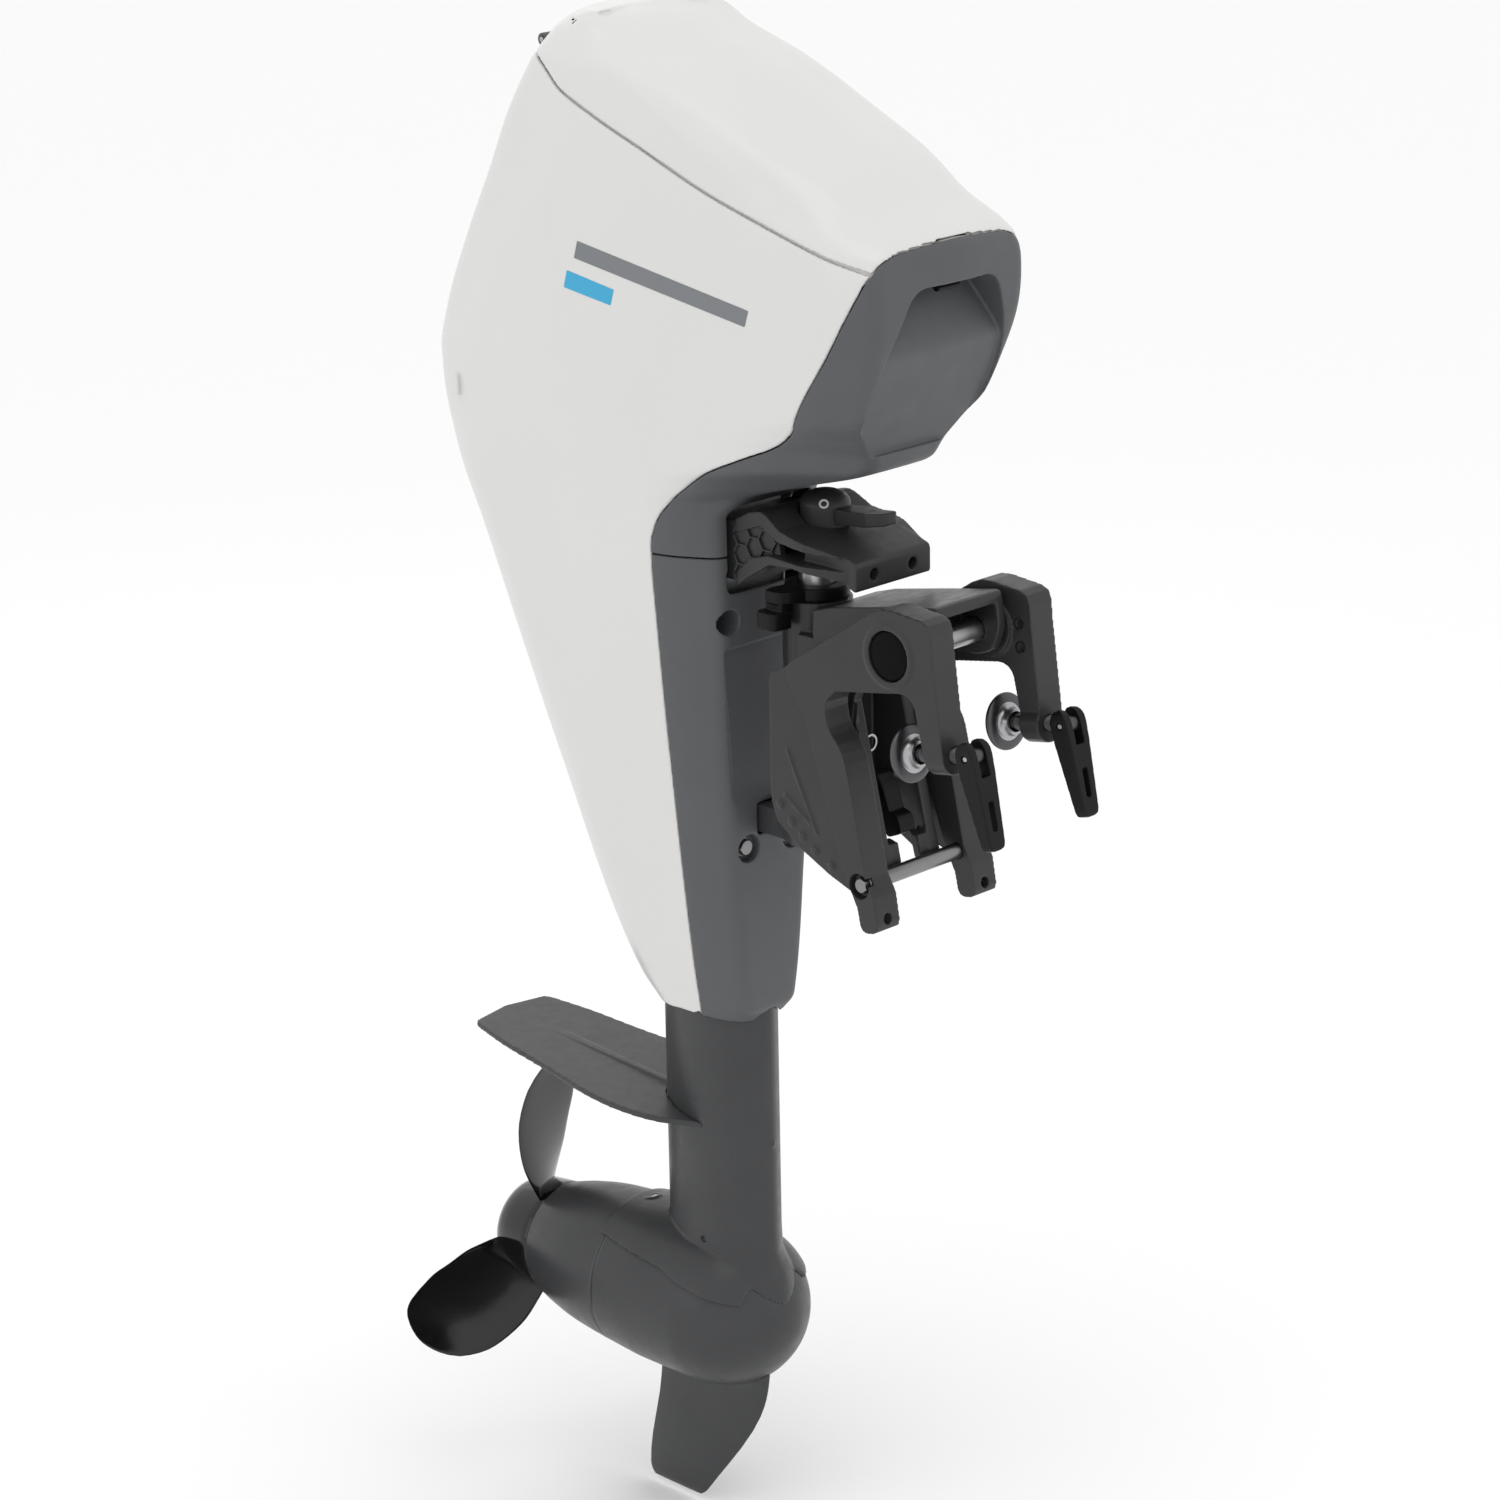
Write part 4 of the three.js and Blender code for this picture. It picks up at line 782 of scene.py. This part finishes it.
def blade(around):
    """One blade: helical sections from inside the hub to the tip, thickest at the root."""
    rings, steps = [], 18
    radii = [34, 38, 42, 46, 50, *range(56, 136, 6), 138, 141, 143.5, 145.5, 146.8, 147.5, 147.9, 148]
    for radius in radii:
        turn = math.atan2(PITCH, 2 * math.pi * radius)
        ring = []
        for i in range(2 * steps):
            share = i / steps if i <= steps else (2 * steps - i) / steps
            share = 0.5 - 0.5 * math.cos(math.pi * share)
            face = 1 if i < steps else -1
            along = (share - 0.5) * CHORD(radius)
            camber = 0.02 * CHORD(radius) * math.sin(math.pi * share)
            lift = face * THICK(radius) * (4 * share * (1 - share)) ** 0.6 + camber
            tangent = along * math.cos(turn) - lift * math.sin(turn)
            axial = along * math.sin(turn) + lift * math.cos(turn) + 0.1 * (radius - 34)
            angle = around - SKEW(radius) - tangent / radius
            ring.append((radius * math.cos(angle), PROP_Y + axial, POD_Z + radius * math.sin(angle)))
        rings.append(ring)
    return loft(rings)


def build_propeller():
    hub = about_pod([(380.6, 0), (380.6, 44.6), (381.6, 45.5), (390, 45), (400, 44), (410, 42.8), (418, 41),
                     (424, 38), (428, 34), (430, 28), (430, 22), (428.4, 21), (428.4, 0)])
    blades = [blade(math.pi / 2 + i * 2 * math.pi / BLADES) for i in range(BLADES)]
    bore = about_pod([(370, 0), (370, 8.3), (440, 8.3), (440, 0)], 48)
    finish_piece(cut(join(hub, *blades), bore), "propeller_blades", "propeller", "propeller_black",
                 "propeller", sharp=50)
    shaft = about_pod([(184, 0), (184, 7.4), (184.6, 8), (428.4, 8), (429, 7.4), (429, 6), (443, 6), (444, 5),
                       (444, 0)])
    nut_bore = about_pod([(420, 0), (420, 6.4), (450, 6.4), (450, 0)])
    nut = cut(hexagon((0, 430.6, POD_Z), (0, 1, 0), 9, 20.8), nut_bore)
    washer = turned([(0, 6.4), (0, 12.6), (0.8, 13), (1.6, 12.6), (1.6, 6.4)], (0, 429, POD_Z), (0, 1, 0), 64)
    finish_piece(shaft, "drive_shaft", "propeller", "bright_steel", "motor_shaft")
    finish_piece(gather(nut, washer), "hub_nut", "propeller", "bright_steel", "propeller_nut")


# ---------------------------------------------------------------- clamp bracket
def cad_piece(node, name, body, slot, pitch, passes, *more, tools=(), finish=None):
    """A CAD node with added bodies and cuts, remeshed with rolled edges."""
    start = from_cad(node)
    if more:
        start = join(start, *more)
    if tools:
        start = cut(start, *tools)
    return finish_piece(even(start, pitch, passes), name, body, slot, node, finish=finish)


def threaded_rod(base, axis, length, radius, pitch, depth):
    """A bar with a rounded helical thread."""
    sides = 40
    along = Vector(axis).normalized()
    turn = Vector((0, 0, 1)).rotation_difference(along).to_matrix()
    rows = int(length / pitch * 12)
    rings = []
    for i in range(rows + 1):
        distance = length * i / rows
        fade = min(1, distance / pitch, (length - distance) / pitch)
        ring = []
        for k in range(sides):
            angle = 2 * math.pi * k / sides
            wave = 0.5 + 0.5 * math.cos(2 * math.pi * (distance / pitch) - angle)
            reach = radius - depth * (1 - wave ** 0.8 * fade)
            ring.append(tuple(Vector(base) + turn @ Vector((reach * math.cos(angle), reach * math.sin(angle),
                                                             distance))))
        rings.append(ring)
    return loft(rings)


# P and Q are Y and Z square to the transom, before raked() leans the piece.
SCREW_X, SCREW_Q, PIN_P = 50, -46, -104
TRIM_P, TRIM_Q = 13, -143
TILT_Y, TILT_Z = -43, 35
TILT_P = TILT_Y * math.cos(RAKE) - TILT_Z * math.sin(RAKE)
TILT_Q = TILT_Y * math.sin(RAKE) + TILT_Z * math.cos(RAKE)


def build_bracket():
    for name, side in SIDES:
        ring = turned([(-3, 18.9), (-3, 23.5), (0.9, 23.5), (1.5, 22.6), (1.5, 20.4), (0.9, 18.9),
                       (-3, 18.9)], (side * 63.6, TILT_P, TILT_Q), (side, 0, 0), 64)
        web = span(side, 55, 58.4)
        rib = prism(rounded([(72.3, -45, 1), (74, -46, 1), (56, -108, 1), (53.6, -108, 1)]), "x", *web)
        brace = prism(rounded([(81.4, -78, 1), (83, -80, 1), (59.6, -102.4, 1), (58, -101, 1)]), "x", *web)
        studs = [turned([(-3, 0), (-3, 3.6), (0.6, 3.4), (1.4, 2.6), (1.7, 1.4), (1.7, 0)],
                        (side * 57, y, z), (side, 0, 0), 32)
                 for y, z in ((88, -87), (79, -100), (70, -110.5), (59, -120.5), (44.5, -131))]
        holes = [rod((side * 36, y, z), (side, 0, 0), 6, 4.2, 0, 32) for y, z in ((-72, 42), (-74, 25))]
        cad_piece(f"clamp_bracket_{name}", f"bracket_half_{name}", "clamp_bracket", "cast_charcoal", 0.8, 3,
                  *[raked(piece) for piece in (ring, rib, brace, *studs)], tools=holes,
                  finish=BRACKET_CHARCOAL)
        cap = turned([(0, 0), (0, 17.4), (0.8, 18.1), (3.6, 18.1), (4.4, 17.4), (4.8, 16), (4.8, 0)],
                     (side * 59.3, TILT_P, TILT_Q), (side, 0, 0), 96)
        finish_piece(raked(cap), f"pivot_cap_{name}", "clamp_bracket", "black_plastic", f"tilt_cap_{name}",
                     finish=MATT_BLACK)
        nut = hexagon((side * 57.4, TRIM_P, TRIM_Q), (side, 0, 0), 5, 10)
        finish_piece(raked(nut), f"rod_nut_{name}", "clamp_bracket", "bright_steel", f"trim_rod_nut_{name}",
                     finish=SATIN_STEEL)
        build_clamp_screw(name, side)
    bar = rod((-56.8, TRIM_P, TRIM_Q), (1, 0, 0), 113.6, 6, 0.8)
    finish_piece(raked(bar), "trim_bar", "clamp_bracket", "bright_steel", "trim_rod", finish=SATIN_STEEL)
    tube = turned([(0, 7), (0, 8.6), (0.5, 9), (116.9, 9), (117.4, 8.6), (117.4, 7), (0, 7)],
                  (-58.7, TILT_Y, TILT_Z), (1, 0, 0), 96)
    finish_piece(tube, "pivot_tube", "clamp_bracket", "bright_steel", "tilt_tube")


def build_clamp_screw(name, side):
    x = side * SCREW_X
    thread = threaded_rod((x, -91, SCREW_Q), (0, 1, 0), 36, 6, 2, 0.8)
    neck = turned([(-8, 0), (-8, 4.2), (2, 4.2), (2, 0)], (x, -91, SCREW_Q), (0, 1, 0))
    ball = turned([(-1, 0), (-1, 5), (1.5, 4.5), (4, 5.2), (7, 6.9), (9, 7), (10, 6.4), (10, 0)],
                  (x, -58, SCREW_Q), (0, 1, 0))
    eye_line = rounded([(PIN_P - 6, SCREW_Q - 6, 6), (-95.5, SCREW_Q - 6, 1.5), (-95.5, SCREW_Q + 6, 1.5),
                        (PIN_P - 6, SCREW_Q + 6, 6)])
    eye = common(prism(eye_line, "x", x - 4, x + 4), rod((x, PIN_P - 7, SCREW_Q), (0, 1, 0), 17, 7.6))
    eye = cut(eye, rod((x - 8, PIN_P, SCREW_Q), (1, 0, 0), 16, 2.8))
    screw = gather(thread, neck, ball, eye)
    finish_piece(raked(screw), f"screw_{name}", f"clamp_screw_{name}", "bright_steel", f"clamp_screw_{name}",
                 finish=DARK_STEEL)
    flange = turned([(-47.4, 14.1), (-47.4, 15), (-46.9, 17), (-46.2, 20), (-45.4, 20.8), (-44.6, 21),
                     (-43.4, 20.8), (-42.4, 20), (-42.1, 17), (-42.3, 14.1), (-47.4, 14.1)],
                    (x, 0, SCREW_Q), (0, 1, 0), 96)
    finish_piece(raked(flange), f"pad_flange_{name}", f"screw_pad_{name}", "bright_steel",
                 f"clamp_pad_{name}", finish=DARK_STEEL)
    cup = turned([(-54, 7.6), (-54, 9), (-53.6, 9.6), (-51, 9.8), (-49, 10.4), (-47.6, 12), (-47.2, 14),
                  (-42.6, 14), (-42.6, 13), (-43, 8), (-43, 0), (-47, 0), (-47, 7.6), (-54, 7.6)],
                 (x, 0, SCREW_Q), (0, 1, 0), 96)
    finish_piece(raked(cup), f"pad_cup_{name}", f"screw_pad_{name}", "bright_steel")
    cad_piece(f"clamp_handle_{name}", f"fold_handle_{name}", f"clamp_handle_{name}", "black_plastic", 0.5, 5)
    pin = raked(turned([(0, 0), (0, 1.6), (0.6, 2.4), (18.6, 2.4), (19.2, 1.6), (19.2, 0)],
                       (x - 9.6, PIN_P, SCREW_Q), (1, 0, 0), 32))
    finish_piece(pin, f"fold_pin_{name}", f"clamp_handle_{name}", "bright_steel", f"handle_pin_{name}")


# ---------------------------------------------------------------- swivel bracket and what it carries
STEER_Y = 87
LEVER_LOW, LEVER_HIGH = 43, 52  # the friction lever's collar on the steering shaft


def build_swivel():
    rib_line = rounded([(18, -20), (22, -20), (34, -100), (30, -100)])
    ribs = [prism(rib_line, "x", *span(side, 29, 31)) for _, side in SIDES]
    cad_piece("swivel_bracket", "swivel_casting", "swivel_bracket", "black_plastic", 0.9, 5, *ribs,
              finish=BRACKET_CHARCOAL)
    clip = turned([(-0.8, 5), (0.8, 5), (0.8, 6.6), (-0.8, 6.6), (-0.8, 5)], (-14.6, 22, -54), (0, 1, 0), 48)
    finish_piece(clip, "wire_clip", "swivel_bracket", "bright_steel")
    for name, z in (("upper", 22), ("lower", -112)):
        bush = turned([(0, 13.8), (0, 17.6), (0.4, 18), (19.6, 18), (20, 17.6), (20, 13.8), (0, 13.8)],
                      (0, STEER_Y, z), (0, 0, 1))
        finish_piece(bush, f"bush_{name}", "swivel_bracket", "black_plastic", f"steering_bush_{name}")
    arm = prism(rounded([(-12, 76), (-34, 80, 3), (-42, 86, 3), (-42, 100, 3), (-34, 102, 3), (-12, 98)]),
                "z", LEVER_LOW, LEVER_HIGH)
    web = prism(rounded([(-31, 84, 3), (-41, 84, 3), (-41, 101, 3), (-31, 101, 3)]), "z", 34, 46)
    grip = prism(rounded([(-30, 82, 5), (-49, 84, 7), (-49, 104, 7), (-30, 103, 5)]), "z", 24, 37)
    collar = rod((0, STEER_Y, LEVER_LOW), (0, 0, 1), LEVER_HIGH - LEVER_LOW, 24)
    lever = cut(join(collar, arm, web, grip), rod((0, STEER_Y, 20), (0, 0, 1), 60, 14.2))
    finish_piece(even(lever, 0.6, 6), "friction_paddle", "friction_lever", "black_plastic", "friction_lever")
    pin = turned([(0, 0), (0, 2.9), (0.6, 3.5), (38.8, 3.5), (39.4, 2.9), (39.4, 0)], (-19.7, 26, -86),
                 (1, 0, 0), 32)
    finish_piece(pin, "lock_cross_pin", "swivel_bracket", "bright_steel", "lock_pin")
    cad_piece("reverse_lock_hook", "lock_hook", "reverse_lock", "black_plastic", 0.6, 5)


def honeycomb():
    """Hexagonal ribs on the outer faces of the yoke's cheeks; cell is a hexagon's side in the lattice."""
    cell, rib, fields = 8.5, 0.6, []
    for _, side in SIDES:
        field = prism([(85, 78), (89, 99), (104, 105), (130, 96), (130, 53), (104, 65)], "x",
                      *span(side, 39.5, 42))
        for column in range(5):
            for row in range(6):
                y = 84 + column * 1.5 * cell
                z = 52 + (row + (column % 2) / 2) * math.sqrt(3) * cell
                corners = [(y + (cell - rib) * math.cos(k * math.pi / 3),
                            z + (cell - rib) * math.sin(k * math.pi / 3)) for k in range(6)]
                field = cut(field, prism(corners, "x", *span(side, 30, 45)))
        fields.append(field)
    finish_piece(gather(*fields), "yoke_ribs", "drive", "black_plastic", finish=YOKE_BLACK)


def build_yoke():
    faces = [prism([(84, 77), (88, 100), (104, 106), (131, 97), (131, 52), (104, 63)], "x",
                   *span(side, 34, 40)) for _, side in SIDES]
    cad_piece("steering_yoke", "yoke", "drive", "black_plastic", 0.8, 3, *faces, finish=YOKE_BLACK)
    honeycomb()
    shaft = turned([(-152, 0), (-152, 10), (-151, 11), (-150, 13), (-149.4, 13.5), (90.6, 13.5), (91, 13.2),
                    (92.6, 11.4), (93, 10.8), (93, 0)], (0, STEER_Y, 0), (0, 0, 1), 96)
    finish_piece(shaft, "steering_tube", "drive", "bright_steel", "steering_shaft")
    cad_piece("lower_mount", "lower_arm", "drive", "cast_charcoal", 0.9, 4)
    knob = turned([(0, 0), (0, 18), (0.6, 18.6), (18.6, 18.6), (20.4, 18.2), (23, 16.6), (25.6, 13.6),
                   (27.4, 9), (28, 4), (28, 0)], (0, 78, 94.4), (0, 0, 1), 96)
    plan = rounded([(-9, 60), (-9, 30), (-4.5, 15, 4), (8.5, 14, 4), (10, 30), (10, 60)])
    side_line = rounded([(60, 101), (34, 103), (15, 106, 2), (14, 115.5, 3), (30, 113.5), (60, 112)])
    lever = common(prism(plan, "z", 90, 130), prism(side_line, "x", -20, 20))
    finish_piece(even(join(knob, lever), 0.6, 4), "lock_knob", "tiller_lock", "black_plastic",
                 "tiller_lock_knob", finish=YOKE_BLACK)
    mark = turned([(0, 2.2), (0, 3.6), (0.5, 3.6), (0.5, 2.2), (0, 2.2)], (-13.3, 66.5, 115.8),
                  (-0.6, -0.52, 0.6), 48)
    finish_piece(mark, "knob_mark", "tiller_lock", "black_plastic", finish=MARK_WHITE)


# ---------------------------------------------------------------- what the cowl covers
def build_inside():
    cad_piece("drive_frame", "frame_plate", "drive", "bare_aluminium", 1.2, 2)
    cad_piece("lid_hinge", "hinge_leaf", "drive", "cover_grey", 0.6, 3)
    pin = turned([(0, 0), (0, 1.6), (0.5, 2.1), (87.5, 2.1), (88, 1.6), (88, 0)], (-44, HINGE_Y, HINGE_Z),
                 (1, 0, 0), 32)
    finish_piece(pin, "hinge_pin", "drive", "bright_steel", "lid_hinge_pin")
    cad_piece("lid_latch", "latch_lever", "lid_latch", "black_plastic", 0.5, 3)
    cad_piece("battery_tray", "tray", "drive", "black_plastic", 1.0, 3)
    cad_piece("battery_pack", "battery", "drive", "cover_grey", 1.2, 6)
    cad_piece("battery_handle", "battery_grip", "drive", "black_plastic", 0.8, 5)
    cad_piece("battery_connector", "power_plug", "drive", "black_plastic", 0.8, 3)
    cad_piece("motor_controller", "controller", "drive", "bare_aluminium", 1.0, 2)


def keep_hidden_nodes():
    """The sealed inner parts keep their CAD meshes and get the material of their slot."""
    slots = {s["node"]: s["material_slot"] for s in frame["record"]["subparts"]}
    for name, node in frame["nodes"].items():
        if node.hide_render:
            continue
        node.data.materials.clear()
        node.data.materials.append(LOOKS[slots[name]])


# ---------------------------------------------------------------- floor and side marks
FLOOR_Z, FLOOR_REACH = -742, 40000


def lay_floor():
    """A wide pale floor just below the skeg."""
    floor = new_object("floor", [(x * FLOOR_REACH, y * FLOOR_REACH, FLOOR_Z)
                                 for x, y in ((-1, -1), (1, -1), (1, 1), (-1, 1))], [(0, 1, 2, 3)])
    material = bpy.data.materials.new("floor_white")
    material.use_nodes = True
    shader = material.node_tree.nodes["Principled BSDF"]
    shader.inputs["Base Color"].default_value = (0.99, 0.99, 0.99, 1)
    shader.inputs["Roughness"].default_value = 0.6
    floor.data.materials.append(material)


def build_side_marks():
    """Two plain slanted bars on each side panel."""
    for name, side in SIDES:
        panel = f"side_panel_{name}"
        side_mark(f"long_bar_{name}", [(240, 284, 1), (70, 257, 1), (66, 269, 1), (236, 297, 1)], panel,
                  side, MARK_GREY)
        side_mark(f"short_bar_{name}", [(252, 261, 1), (204, 254, 1), (200, 266, 1), (248, 274, 1)], panel,
                  side, MARK_BLUE)


place_camera()
set_studio()
build_covers()
build_side_marks()
build_leg()
build_plate()
build_pod()
build_skeg()
build_propeller()
build_bracket()
build_swivel()
build_yoke()
build_inside()
keep_hidden_nodes()
lay_floor()
